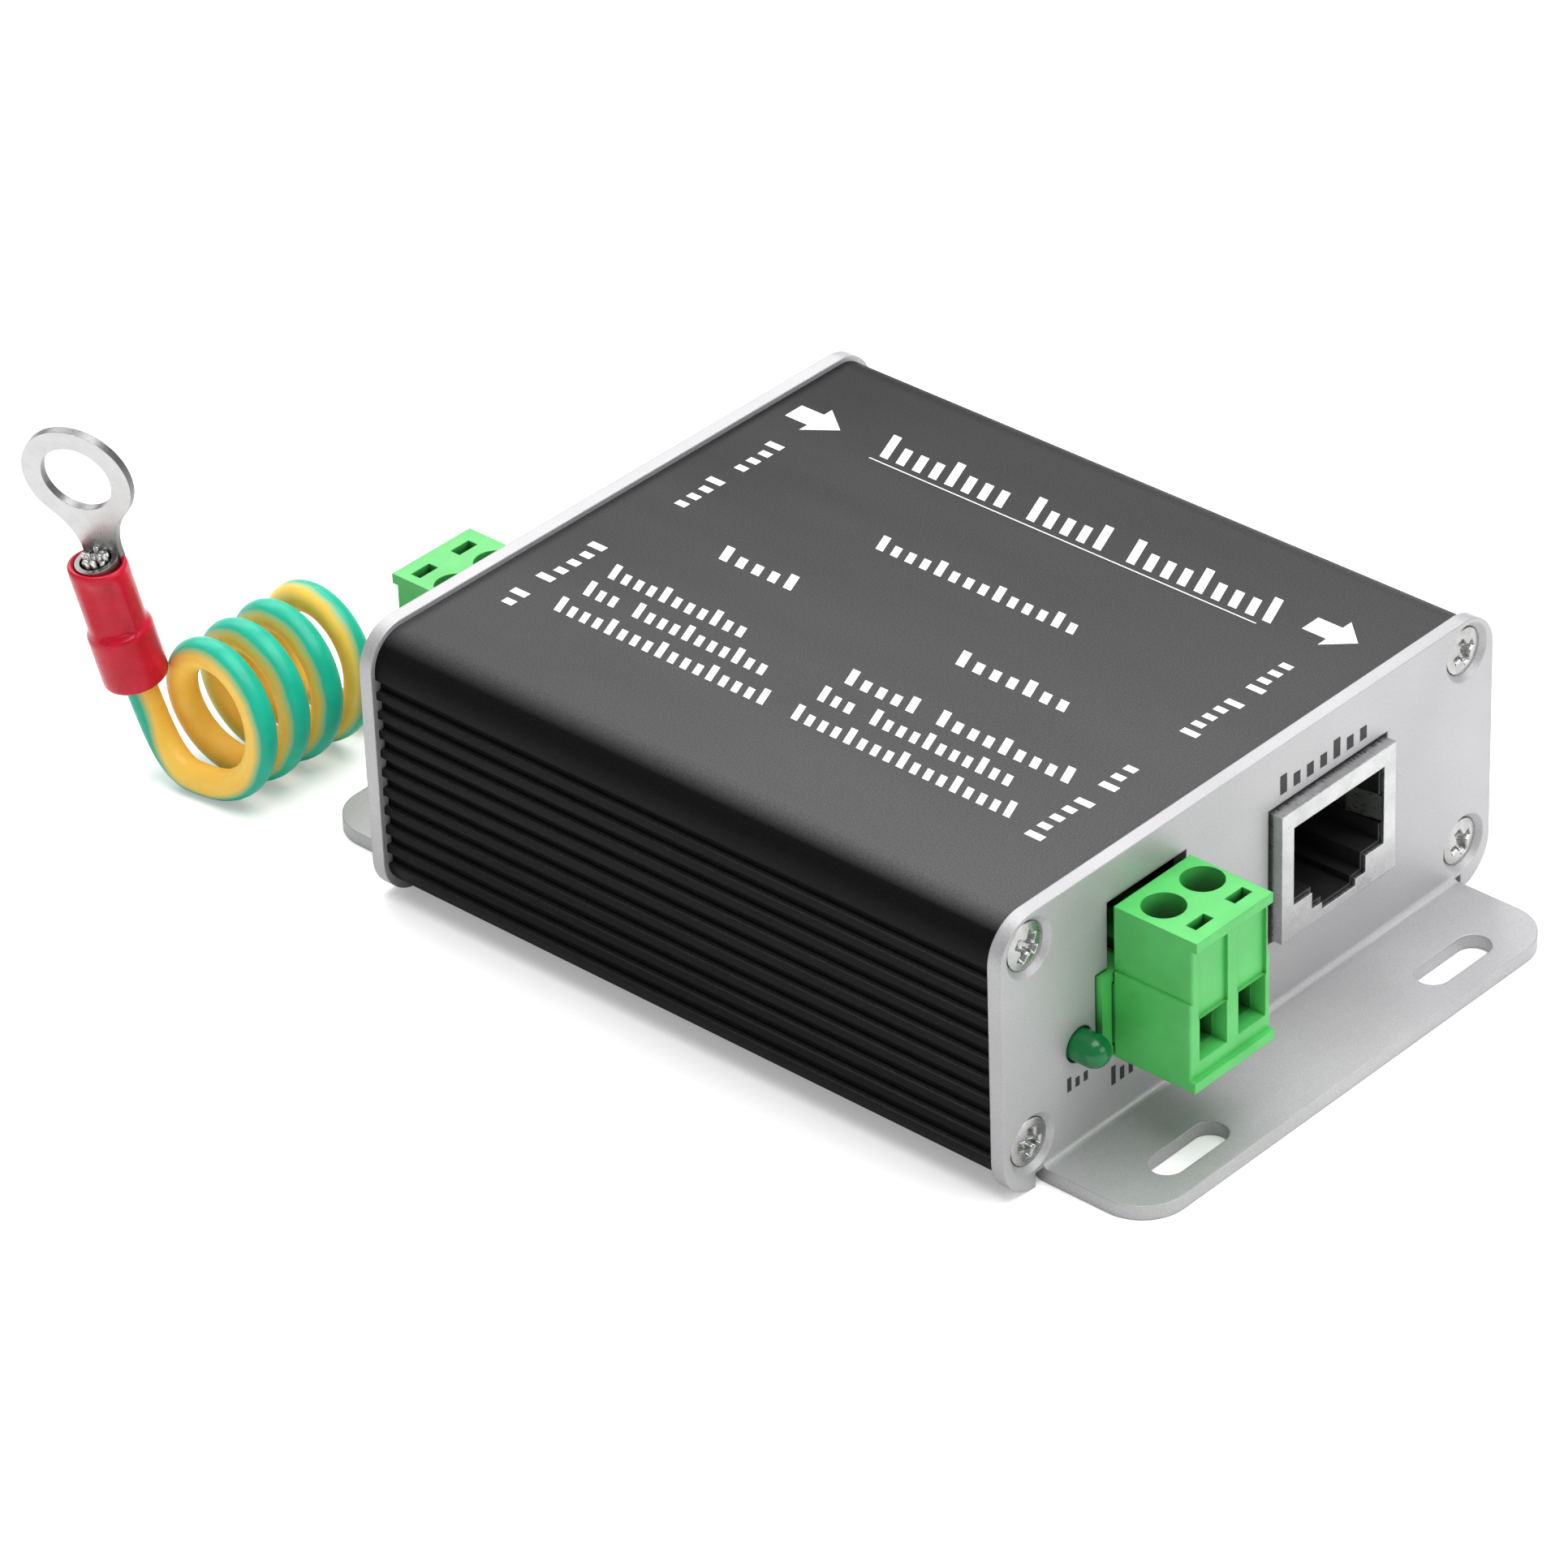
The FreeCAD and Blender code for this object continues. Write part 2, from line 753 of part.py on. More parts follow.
def lens_turn(profile, start, shoulder, tip, radius):
    """Half the lens's section: flange, barrel and a round nose."""
    straight = tip - radius
    centre = Vector(-straight.value, 0, 0)
    corners = [(-straight, radius), (-shoulder, radius), (-shoulder, dim.led_flange)]
    corners += [(-start, dim.led_flange), (-start, 0), (-tip, 0)]
    points = [Vector(sized(x).value, sized(y).value, 0) for x, y in corners]
    lines = [profile.addGeometry(Part.LineSegment(a, b), False) for a, b in zip(points, points[1:])]
    dome = Part.ArcOfCircle(Part.Circle(centre, Z_AXIS, radius.value), math.pi / 2, math.pi)
    arc = profile.addGeometry(dome, False)
    for first, second in zip(lines, lines[1:]):
        profile.addConstraint(Sketcher.Constraint("Coincident", first, 2, second, 1))
    profile.addConstraint(Sketcher.Constraint("Coincident", lines[0], 1, arc, 1))
    profile.addConstraint(Sketcher.Constraint("Coincident", lines[-1], 2, arc, 2))
    for line, (x, y) in zip(lines, corners):
        pin_point(profile, line, 1, x, y)
    pin_point(profile, lines[-1], 2, -tip, 0)
    constrain(profile, Sketcher.Constraint("Radius", arc, radius.value), radius)


def bent_strip(body, x, points, width, thickness):
    """A strip of metal along a path of Y and Z values, centred on X."""
    profile = sketch_on(body, "YZ_Plane", x - width / 2)
    outline(profile, strip_outline(points, thickness))
    return pad(body, profile, width)


def strip_outline(points, thickness):
    """Both sides of a path that turns square corners, offset by the thickness to its left."""
    far = []
    for index, (y, z) in enumerate(points):
        before = points[max(index - 1, 0)]
        after = points[min(index + 1, len(points) - 1)]
        enter, leave = heading(before, (y, z)), heading((y, z), after)
        enter = enter or leave
        leave = leave or enter
        turn = 1 + enter[0] * leave[0] + enter[1] * leave[1]
        shift_y = -(enter[1] + leave[1]) / turn
        shift_z = (enter[0] + leave[0]) / turn
        far.append((y + shift_y * thickness, z + shift_z * thickness))
    return list(points) + list(reversed(far))


def heading(start, end):
    """The unit step from one point to the next, or nothing where they are the same."""
    dy = sized(end[0]).value - sized(start[0]).value
    dz = sized(end[1]).value - sized(start[1]).value
    length = math.hypot(dy, dz)
    return (dy / length, dz / length) if length > 1e-9 else None


def indicator_legs():
    body = new_body("status_led_legs")
    start = -(dim.overall_length / 2 - dim.sheet_thickness - 1.4)
    foot = dim.board_top
    for offset in (-1.27, 1.27):
        end = start + 4
        path = [(start, dim.led_z), (end, dim.led_z), (end, foot)]
        bent_strip(body, dim.led_x + offset, path, sized(0.5), 0.5)
    return keep(body)


# Shielded jack


def port_outline(inset):
    """The modular port seen from the front: a wide opening with two steps for the latch below."""
    x = dim.jack_x
    wide = dim.port_width / 2 - inset
    latch = dim.latch_width / 2 - inset
    nose = dim.nose_width / 2 - inset
    floor, latch_floor = dim.port_floor + inset, dim.latch_floor + inset
    low, high = dim.nose_floor + inset, dim.port_top - inset
    right = [(nose, low), (nose, latch_floor), (latch, latch_floor), (latch, floor)]
    right += [(wide, floor), (wide, high)]
    left = [(-across, z) for across, z in reversed(right)]
    return [(x + across, z) for across, z in right + left]


def jack_shield(label, turned):
    body = new_body(label)
    half = dim.jack_width / 2
    low, high = dim.board_top, dim.board_top + dim.jack_height
    back = dim.jack_front - dim.jack_depth
    outside = sketch_on(body, "XZ_Plane", back)
    rectangle(outside, dim.jack_x - half, dim.jack_x + half, low, high)
    pad(body, outside, dim.jack_depth)
    thin = dim.shield_wall
    inside = sketch_on(body, "XZ_Plane", back)
    reach = half - thin
    rectangle(inside, dim.jack_x - reach, dim.jack_x + reach, low + thin, high - thin)
    pocket(body, inside, dim.jack_depth - thin, reverse=True)
    window = sketch_on(body, "XZ_Plane", dim.jack_front)
    outline(window, port_outline(sized(0)))
    pocket(body, window, thin)
    under = sketch_on(body, "XY_Plane", low + thin)
    rectangle(under, dim.jack_x - reach, dim.jack_x + reach, -dim.jack_front + 3, -back)
    pocket(body, under, 2 * thin)
    spring_tabs(body)
    board_tabs(body)
    return keep(body, turned, dim.jack_x)


def spring_tabs(body):
    """A bent finger inside each side of the port, which touches the plug's own shield."""
    front = dim.jack_front - dim.shield_wall
    wall = dim.port_width / 2
    for side in (-1, 1):
        sketch = sketch_on(body, "XY_Plane", dim.port_floor + 2.2)
        x = dim.jack_x + side * wall
        sink = side * dim.shield_wall
        tip = dim.jack_x + side * (wall - 0.55)
        corners = [(x, -front - 0.1), (x + sink, -front - 0.1), (tip + sink, -front + 3.4)]
        corners += [(x + sink, -front + 5.6), (x, -front + 5.6), (tip, -front + 3.4)]
        outline(sketch, corners)
        pad(body, sketch, 2.6)


def board_tabs(body):
    """Two legs that pass through the board."""
    y = -(dim.jack_front - 14)
    for side in (-1, 1):
        outer = dim.jack_x + side * dim.jack_width / 2
        ends = sorted((outer, outer - side * dim.shield_wall), key=lambda size: size.value)
        block(body, ends[0], ends[1], y - 0.9, y + 0.9, dim.board_top, 0.6)


def jack_insulator(label, turned):
    body = new_body(label)
    gap = dim.shield_wall + 0.05
    half = dim.jack_width / 2 - gap
    low, high = dim.board_top + gap, dim.board_top + dim.jack_height - gap
    front = dim.jack_front - gap
    depth = dim.jack_depth - 2.6
    block_face = sketch_on(body, "XZ_Plane", front - depth)
    rectangle(block_face, dim.jack_x - half, dim.jack_x + half, low, high)
    pad(body, block_face, depth)
    port = sketch_on(body, "XZ_Plane", front)
    outline(port, port_outline(dim.lining))
    pocket(body, port, dim.port_depth)
    tab_room(body, front)
    first = dim.jack_x - dim.contact_pitch * (dim.contact_count - 1) / 2
    slit = sketch_on(body, "XZ_Plane", front)
    ceiling = dim.port_top - dim.lining
    rectangle(slit, first - 0.3, first + 0.3, ceiling - 0.2, ceiling + 0.5)
    cut = pocket(body, slit, depth)
    repeat(body, cut, "X_Axis", dim.contact_pitch, dim.contact_count)
    pegs(body, low)
    return keep(body, turned, dim.jack_x)


def tab_room(body, front):
    """Space beside the port for the shield's fingers."""
    wall = dim.port_width / 2
    room = sketch_on(body, "XZ_Plane", front)
    low, high = dim.port_floor + 2.0, dim.port_floor + 5.0
    for side in (-1, 1):
        ends = sorted((side * (wall - 0.8), side * (wall + 0.5)), key=lambda size: size.value)
        rectangle(room, dim.jack_x + ends[0], dim.jack_x + ends[1], low, high)
    pocket(body, room, 6.2)


def pegs(body, low):
    """Two round pegs through the board."""
    sketch = sketch_on(body, "XY_Plane", dim.board_top - dim.board_thickness)
    for side in (-1, 1):
        circle(sketch, dim.jack_x + side * 5.7, -(dim.jack_front - 9), 3.1)
    pad(body, sketch, low - dim.board_top + dim.board_thickness + 0.1)


def jack_contacts(label, turned):
    """Eight wires: up from the board behind the block, along its ceiling, and back down as springs."""
    body = new_body(label)
    front = dim.jack_front - dim.shield_wall - 0.05
    back = -(front - (dim.jack_depth - 2.6)) + 0.15
    ceiling = dim.port_top - dim.lining
    nose = -(front - 1.6)
    foot, tip_low = dim.board_top + 0.02, ceiling - 2.8
    path = [(back, foot), (back, ceiling), (nose, ceiling), (nose + 8, tip_low)]
    first = dim.jack_x - dim.contact_pitch * (dim.contact_count - 1) / 2
    profile = sketch_on(body, "YZ_Plane", first - dim.contact_width / 2)
    outline(profile, contact_outline(path))
    wire = pad(body, profile, dim.contact_width)
    repeat(body, wire, "X_Axis", dim.contact_pitch, dim.contact_count)
    return keep(body, turned, dim.jack_x)


def contact_outline(path):
    """The wire's section: straight up, straight along, then a slanting spring."""
    wire = dim.contact_wire
    (rear, foot), (_, top), (nose, _), (tip, tip_low) = path
    slant = wire * 1.1
    inner = [(rear, foot), (rear, top), (nose + slant, top), (tip, tip_low + slant)]
    outer = [(tip, tip_low), (nose, top), (nose, top + wire), (rear + wire, top + wire), (rear + wire, foot)]
    return inner + outer


# Pluggable terminal


def pole_places():
    """The two poles, which stand a little towards the jack from the plug's own middle."""
    middle = dim.plug_x + dim.pole_shift
    return [middle - dim.pole_pitch / 2, middle + dim.pole_pitch / 2]


def plug_housing(label, turned):
    """The moulded plug: screw block with two cells, and a narrower nose that enters the header."""
    body = new_body(label)
    x = dim.plug_x
    low_half, high_half = dim.plug_width_low / 2, dim.plug_width_high / 2
    block(body, x - low_half, x + low_half, -dim.plug_face, -dim.plug_back_low,
          dim.plug_bottom, dim.plug_step - dim.plug_bottom)
    block(body, x - high_half, x + high_half, -dim.plug_face, -dim.plug_back_high,
          dim.plug_step, dim.plug_top - dim.plug_step)

    def front_corner(edge):
        return runs_along(edge, Z_AXIS) and near(edge.Vertexes[0].Y, -dim.plug_face)

    dress(body, "Fillet", dim.corner_round, front_corner)
    top_lip = dim.plug_top - dim.lip
    block(body, x - high_half, x + high_half, -dim.plug_front, -dim.plug_face + 0.5, top_lip, dim.lip)
    block(body, x - low_half, x + low_half, -dim.plug_front, -dim.plug_face + 0.5, dim.plug_bottom, dim.lip)
    nose_half = dim.nose_wide / 2
    block(body, x - nose_half, x + nose_half, -dim.plug_back_low - 0.5, -dim.nose_back,
          dim.nose_low, dim.nose_high - dim.nose_low)
    plug_front(body)
    plug_cells(body)
    return keep(body, turned, x)


def plug_front(body):
    """Recessed panels that run down to the wire entries, and the entries' tapered mouths."""
    low, high = dim.entry_low, dim.entry_high
    for x in pole_places():
        half = dim.panel_width / 2
        panel = sketch_on(body, "XZ_Plane", dim.plug_face)
        rectangle(panel, x - half, x + half, high, dim.panel_high)
        pocket(body, panel, dim.panel_depth)
        mouth = dim.entry_width / 2
        funnel = sketch_on(body, "XZ_Plane", dim.plug_face)
        rectangle(funnel, x - mouth, x + mouth, low, high)
        pocket(body, funnel, dim.entry_funnel, taper=-11)
        throat = dim.entry_throat / 2
        narrower = mouth - throat
        hole = sketch_on(body, "XZ_Plane", dim.plug_face)
        rectangle(hole, x - throat, x + throat, low + narrower, high - narrower)
        pocket(body, hole, dim.plug_face - dim.well_y)


def plug_cells(body):
    """Inside each pole: the cage's cell, the screw's well, the probe slot and the socket's channel."""
    for x in pole_places():
        half, deep = dim.cage_width / 2 + 0.1, dim.cage_depth / 2 + 0.2
        y = -dim.well_y
        ceiling = dim.clamp_head_low - 0.05
        cell = sketch_on(body, "XY_Plane", ceiling)
        rectangle(cell, x - half, x + half, y - deep, y + deep)
        pocket(body, cell, ceiling - dim.cage_bottom + 0.1)
        well = sketch_on(body, "XY_Plane", dim.plug_top)
        circle(well, x, y, dim.well_bore)
        pocket(body, well, dim.plug_top - ceiling + 0.1)
        probe = sketch_on(body, "XY_Plane", dim.plug_top)
        wide, short = dim.probe_wide / 2, dim.probe_deep / 2
        rectangle(probe, x - wide, x + wide, -dim.probe_y - short, -dim.probe_y + short)
        pocket(body, probe, 3.2)
        room = dim.socket_size / 2 + 0.05
        channel = sketch_on(body, "XZ_Plane", dim.nose_back)
        rectangle(channel, x - room, x + room, dim.socket_z - room, dim.socket_z + room)
        pocket(body, channel, dim.well_y - dim.nose_back, reverse=True)
        riser = sketch_on(body, "XY_Plane", dim.strip_low + dim.strip_thickness + 0.1)
        side = dim.strip_width / 2 + 0.05
        rectangle(riser, x - side, x + side, y + 1, -dim.plug_back_low + 0.45)
        pocket(body, riser, 2.6)


def plug_sockets(label, turned):
    """Two sprung sockets, each one strip of metal with the plate that the cage squeezes wire on."""
    body = new_body(label)
    front = dim.well_y + dim.cage_depth / 2 - 0.1
    bend = dim.plug_back_low - 0.3
    for x in pole_places():
        side = dim.strip_width / 2
        block(body, x - side, x + side, -front, -bend, dim.strip_low, dim.strip_thickness)
        rise = dim.strip_low - dim.socket_z
        block(body, x - side, x + side, -bend - dim.strip_thickness, -bend, dim.socket_z, rise)
        half = dim.socket_size / 2
        tube = sketch_on(body, "XZ_Plane", dim.nose_back + 0.3)
        rectangle(tube, x - half, x + half, dim.socket_z - half, dim.socket_z + half)
        pad(body, tube, bend + dim.strip_thickness - dim.nose_back - 0.3)
        bore = dim.socket_bore / 2
        hole = sketch_on(body, "XZ_Plane", dim.nose_back + 0.3)
        rectangle(hole, x - bore, x + bore, dim.socket_z - bore, dim.socket_z + bore)
        pocket(body, hole, 6.5, reverse=True)
    return keep(body, turned, dim.plug_x)


def clamp_cage(label, x, turned):
    """A square cage, open front and back, with the screw's thread in its thick roof."""
    body = new_body(label)
    half, deep = dim.cage_width / 2, dim.cage_depth / 2
    y = -dim.well_y
    block(body, x - half, x + half, y - deep, y + deep, dim.cage_bottom, dim.cage_height)
    window = sketch_on(body, "XZ_Plane", dim.well_y + deep)
    inner = half - dim.cage_side
    floor = dim.cage_bottom + dim.cage_floor
    roof = dim.cage_bottom + dim.cage_height - dim.cage_roof
    rectangle(window, x - inner, x + inner, floor, roof)
    pocket(body, window, dim.cage_depth)
    thread = sketch_on(body, "XY_Plane", dim.cage_bottom + dim.cage_height)
    circle(thread, x, y, dim.clamp_screw_bore + 0.1)
    pocket(body, thread, dim.cage_roof + 0.1)

    def outer_corner(edge):
        return runs_along(edge, Y_AXIS) and near(abs(edge.Vertexes[0].X - x.value), half)

    dress(body, "Fillet", 0.3, outer_corner)
    return keep(body, turned, dim.plug_x)


def clamp_screw(label, x, turned):
    """A captive slotted screw that turns in place and lifts the cage."""
    body = new_body(label)
    profile = sketch_on(body, "XZ_Plane", dim.well_y, x)
    head, bore = dim.clamp_screw_head / 2, dim.clamp_screw_bore / 2
    foot = dim.strip_low + dim.strip_thickness + 0.1
    corners = [(0, foot), (bore - 0.3, foot), (bore, foot + 0.3), (bore, dim.clamp_head_low)]
    corners += [(head, dim.clamp_head_low), (head, dim.clamp_head_high - 0.2)]
    outline(profile, corners + [(head - 0.2, dim.clamp_head_high), (0, dim.clamp_head_high)])
    revolve(body, profile, "V_Axis")
    slit = sketch_on(body, "XY_Plane", dim.clamp_head_high)
    half = dim.clamp_slot / 2
    rectangle(slit, x - head - 0.2, x + head + 0.2, -dim.well_y - half, -dim.well_y + half)
    pocket(body, slit, 0.8)
    return keep(body, turned, dim.plug_x)


# Board header


def header(label, turned):
    body = new_body(label)
    x = dim.plug_x
    half = dim.header_width / 2
    back = dim.header_front - dim.header_depth
    block(body, x - half, x + half, -dim.header_front, -back, dim.board_top, dim.header_top - dim.board_top)
    room = dim.header_cavity_width / 2
    cavity = sketch_on(body, "XZ_Plane", dim.header_front)
    rectangle(cavity, x - room, x + room, dim.header_cavity_low, dim.header_cavity_high)
    pocket(body, cavity, dim.header_cavity_depth)
    holes = sketch_on(body, "XZ_Plane", dim.header_front - dim.header_cavity_depth)
    side = dim.pin_size / 2
    for pole in pole_places():
        rectangle(holes, pole - side, pole + side, dim.socket_z - side, dim.socket_z + side)
    pocket(body, holes, dim.header_depth - dim.header_cavity_depth)
    keys = sketch_on(body, "XZ_Plane", dim.header_front)
    for pole in pole_places():
        rectangle(keys, pole - 0.9, pole + 0.9, dim.header_cavity_high - 0.1, dim.header_top + 0.2)
    pocket(body, keys, dim.header_cavity_depth - 2)
    return keep(body, turned, x)


def header_pins(label, turned):
    """Two square pins, from inside the header back over its wall and down through the board."""
    body = new_body(label)
    side = dim.pin_size / 2
    foot = dim.board_top - dim.board_thickness - 1.8
    tip, bend = -dim.pin_tip, -(dim.pin_bend - side)
    low, high = dim.socket_z - side, dim.socket_z + side
    for pole in pole_places():
        profile = sketch_on(body, "YZ_Plane", pole - side)
        inner = bend - dim.pin_size
        outline(profile, [(tip, low), (inner, low), (inner, foot), (bend, foot), (bend, high), (tip, high)])
        pad(body, profile, dim.pin_size)
    return keep(body, turned, dim.plug_x)


# Earth lead


def cable_grommet():
    """A soft bush in the line end's plate, round the earth lead."""
    body = new_body("cable_grommet")
    profile = sketch_on(body, "YZ_Plane", dim.wire_exit_x, 0, dim.wire_exit_z)
    bore, waist, rim = dim.grommet_bore / 2, dim.grommet_waist / 2, dim.grommet_rim / 2
    outer = dim.overall_length / 2
    inner = outer - dim.sheet_thickness
    corners = [(inner - 0.9, bore), (outer + 1.1, bore), (outer + 1.1, rim - 0.5), (outer + 0.6, rim)]
    corners += [(outer, rim), (outer, waist), (inner, waist), (inner, rim), (inner - 0.9, rim)]
    outline(profile, corners)
    revolve(body, profile, "H_Axis")
    return keep(body)


def earth_terminal():
    """The tinned tab on the board that the lead's inner end is soldered to."""
    body = new_body("earth_terminal")
    x = dim.wire_exit_x
    y = dim.wire_exit_start
    block(body, x - 2, x + 2, y - 4, y - 3.2, dim.board_top, 4.6)
    block(body, x - 2, x + 2, y - 3.2, y, dim.board_top, 0.5)
    block(body, x - 0.9, x + 0.9, y - 3.2, y, dim.wire_exit_z - 0.6, 1.2)
    return keep(body)


def tube_path(points):
    """Straight runs joined by arcs that are as large as the two runs allow."""
    edges = []
    start = points[0]
    for before, corner, after in zip(points, points[1:], points[2:]):
        enter, leave = (corner - before), (after - corner)
        shorter = min(enter.Length, leave.Length)
        enter.normalize()
        leave.normalize()
        half_turn = enter.getAngle(leave) / 2
        reach = 0.45 * shorter
        radius = reach / math.tan(half_turn)
        print(f"bend radius {radius:.1f} at {corner.x:.1f}, {corner.y:.1f}, {corner.z:.1f}")
        first, last = corner - enter * reach, corner + leave * reach
        inward = (leave - enter).normalize()
        middle = corner + inward * (radius / math.cos(half_turn) - radius)
        edges.append(Part.LineSegment(start, first).toShape())
        edges.append(Part.Arc(first, middle, last).toShape())
        start = last
    edges.append(Part.LineSegment(start, points[-1]).toShape())
    return Part.Wire(edges)


def wire_tube(label, points):
    path = tube_path(points)
    radius = dim.wire_bore.value / 2
    direction = points[1] - points[0]
    section = Part.Wire([Part.makeCircle(radius, points[0], direction)])
    solid = path.makePipeShell([section], True, False)
    expected = math.pi * radius**2 * path.Length
    print(f"{label}: length {path.Length:.1f}, volume {solid.Volume:.2f} against {expected:.2f}")
    return group(label, [solid])


def terminal_frame():
    """Where the sleeve starts, which way the terminal stands, and the ring's flat face."""
    foot = Vector(-31.36, 67.91, 10.19)
    up = Vector(-0.208, 0.068, 0.976).normalize()
    face = Vector(-0.941, -0.321, -0.105)
    face = (face - up * face.dot(up)).normalize()
    return foot, up, face


def earth_lead():
    """The lead: out of the grommet and down to the coil, the coil, and the stiff end that stands up."""
    x, z = dim.wire_exit_x.value, dim.wire_exit_z.value
    first = Vector(x, dim.wire_exit_start.value, z)
    wire_tube("earth_wire_lead", [first, Vector(x, 43, z), Vector(-13.4, 56.8, 2.9)])
    foot, up, _ = terminal_frame()
    top = foot + up * (dim.sleeve_length.value - dim.barrel_length.value - 0.5)
    bend = foot - up * 4.4
    wire_tube("earth_wire_tail", [top, bend, Vector(-31.0, 63.6, 1.5), Vector(-27.4, 57.2, 2.3)])


def earth_coil():
    body = new_body("earth_wire_coil")
    profile = sketch_on(body, "YZ_Plane", dim.coil_near)
    circle(profile, dim.coil_y, dim.coil_z, 2 * dim.coil_radius + dim.wire_bore)
    pad(body, profile, dim.coil_far - dim.coil_near)
    return keep(body)


def terminal_placement():
    """Local Z runs up the terminal and local Y along the ring's face."""
    foot, up, face = terminal_frame()
    across = face.cross(up)
    return Placement(foot, Rotation(across, face, up, "ZYX"))


def stand_up(body):
    body.Placement = terminal_placement()
    parts.append(body)
    return body


def ring_terminal():
    """A flat ring and neck stamped in one with the rolled barrel that grips the conductor."""
    body = new_body("ring_terminal")
    top = dim.sleeve_length
    thick = dim.ring_thickness
    behind = dim.barrel_outside / 2
    flat = sketch_on(body, "XZ_Plane", behind - thick)
    ring_outline(flat, top + dim.ring_offset)
    pad(body, flat, thick)
    hole = sketch_on(body, "XZ_Plane", behind)
    circle(hole, 0, top + dim.ring_offset, dim.ring_hole)
    pocket(body, hole, thick)
    length = dim.barrel_length + dim.barrel_proud
    barrel = sketch_on(body, "XY_Plane", top - dim.barrel_length)
    circle(barrel, 0, 0, dim.barrel_outside)
    pad(body, barrel, length)
    bore = sketch_on(body, "XY_Plane", top - dim.barrel_length)
    circle(bore, 0, 0, dim.barrel_bore)
    pocket(body, bore, length, reverse=True)
    return stand_up(body)


def ring_outline(sketch, height):
    """The ring's round outline, running down in a hollow curve each side to the straight neck."""
    outer, hollow, neck = dim.ring_outside / 2, dim.ring_hollow, dim.ring_neck / 2
    across = neck + hollow
    drop = math.sqrt((outer + hollow).value ** 2 - across.value**2)
    lean = math.atan2(drop, across.value)
    up, level, base = height.value, height.value - drop, dim.sleeve_length
    side = [Part.Circle(Vector(end * across.value, level, 0), Z_AXIS, hollow.value) for end in (-1, 1)]
    round_part = Part.Circle(Vector(0, up, 0), Z_AXIS, outer.value)
    ring = sketch.addGeometry(Part.ArcOfCircle(round_part, -lean, math.pi + lean), False)
    left = sketch.addGeometry(Part.ArcOfCircle(side[0], 0, lean), False)
    right = sketch.addGeometry(Part.ArcOfCircle(side[1], math.pi - lean, math.pi), False)
    half, foot = neck.value, base.value
    points = [Vector(-half, level, 0), Vector(-half, foot, 0), Vector(half, foot, 0), Vector(half, level, 0)]
    lines = [sketch.addGeometry(Part.LineSegment(a, b), False) for a, b in zip(points, points[1:])]
    joins = ((ring, 1, right, 1), (ring, 2, left, 2), (left, 1, lines[0], 1), (right, 2, lines[2], 2))
    for first, end, second, start in joins:
        sketch.addConstraint(Sketcher.Constraint("Tangent", first, end, second, start))
    sketch.addConstraint(Sketcher.Constraint("Coincident", lines[0], 2, lines[1], 1))
    sketch.addConstraint(Sketcher.Constraint("Coincident", lines[1], 2, lines[2], 1))
    sketch.addConstraint(Sketcher.Constraint("Vertical", lines[0]))
    sketch.addConstraint(Sketcher.Constraint("Vertical", lines[2]))
    sketch.addConstraint(Sketcher.Constraint("Equal", left, right))
    pin_point(sketch, ring, 3, 0, height)
    pin_point(sketch, lines[1], 1, -neck, base)
    pin_point(sketch, lines[1], 2, neck, base)
    constrain(sketch, Sketcher.Constraint("Radius", ring, outer.value), outer)
    constrain(sketch, Sketcher.Constraint("Radius", left, hollow.value), hollow)


def ring_sleeve():
    """The red insulating sleeve, waisted where it was crimped."""
    body = new_body("ring_sleeve")
    profile = sketch_on(body, "XZ_Plane")
    top = dim.sleeve_length
    bore, wire = dim.sleeve_bore / 2, dim.grommet_bore / 2
    mouth, waist, skirt = dim.sleeve_mouth / 2, dim.sleeve_waist / 2, dim.sleeve_skirt / 2
    step = top - dim.barrel_length - 0.4
    corners = [(wire, 0), (skirt, 0), (skirt, 4.6), (skirt - 0.3, 5.6), (waist, 6.8), (waist, 9.0)]
    corners += [(mouth, 11.0), (mouth, top), (bore, top), (bore, step), (wire, step)]
    outline(profile, corners)
    revolve(body, profile, "V_Axis")
    return stand_up(body)


def wire_strands():
    """Seven tinned strands, from the insulation's end to the mouth of the barrel."""
    start = dim.sleeve_length.value - dim.barrel_length.value - 0.5
    length = dim.barrel_length.value + 2.2
    radius = 0.42
    places = [Vector(0, 0, start)]
    for step in range(6):
        angle = math.radians(60 * step)
        places.append(Vector(2.1 * radius * math.cos(angle), 2.1 * radius * math.sin(angle), start))
    shapes = [Part.makeCylinder(radius, length, place, Z_AXIS) for place in places]
    for shape in shapes:
        shape.Placement = terminal_placement().multiply(shape.Placement)
    group("earth_wire_strands", shapes)


def both_ends():
    """What both ends of the box have: the line end's copy is the same piece turned half round."""
    left, right = pole_places()
    for end, turned in (("out", False), ("in", True)):
        end_plate(f"{end}_end_plate", turned)
        jack_shield(f"{end}_jack_shield", turned)
        jack_insulator(f"{end}_jack_insulator", turned)
        jack_contacts(f"{end}_jack_contacts", turned)
        header(f"{end}_header", turned)
        header_pins(f"{end}_header_pins", turned)
        plug_housing(f"{end}_plug_housing", turned)
        plug_sockets(f"{end}_plug_sockets", turned)
        for name, x in (("a", left), ("b", right)):
            clamp_screw(f"{end}_clamp_screw_{name}", x, turned)
            clamp_cage(f"{end}_clamp_cage_{name}", x, turned)


def check_and_write():
    """Stops on any failed object, then writes each sub-part to its own file."""
    doc.recompute()
    for item in doc.Objects:
        if "Invalid" in item.State or "Error" in item.State:
            raise RuntimeError(f"{item.Name} failed: {item.State}")
    os.makedirs("parts", exist_ok=True)
    for part in parts:
        shape = part.Shape
        if shape.isNull() or not shape.isValid():
            raise RuntimeError(f"{part.Label} has no valid shape")
        shape.exportStep(f"parts/{part.Label}.step")
        print(f"{part.Label}: {len(shape.Solids)} solids, {shape.Volume:.1f} mm3")


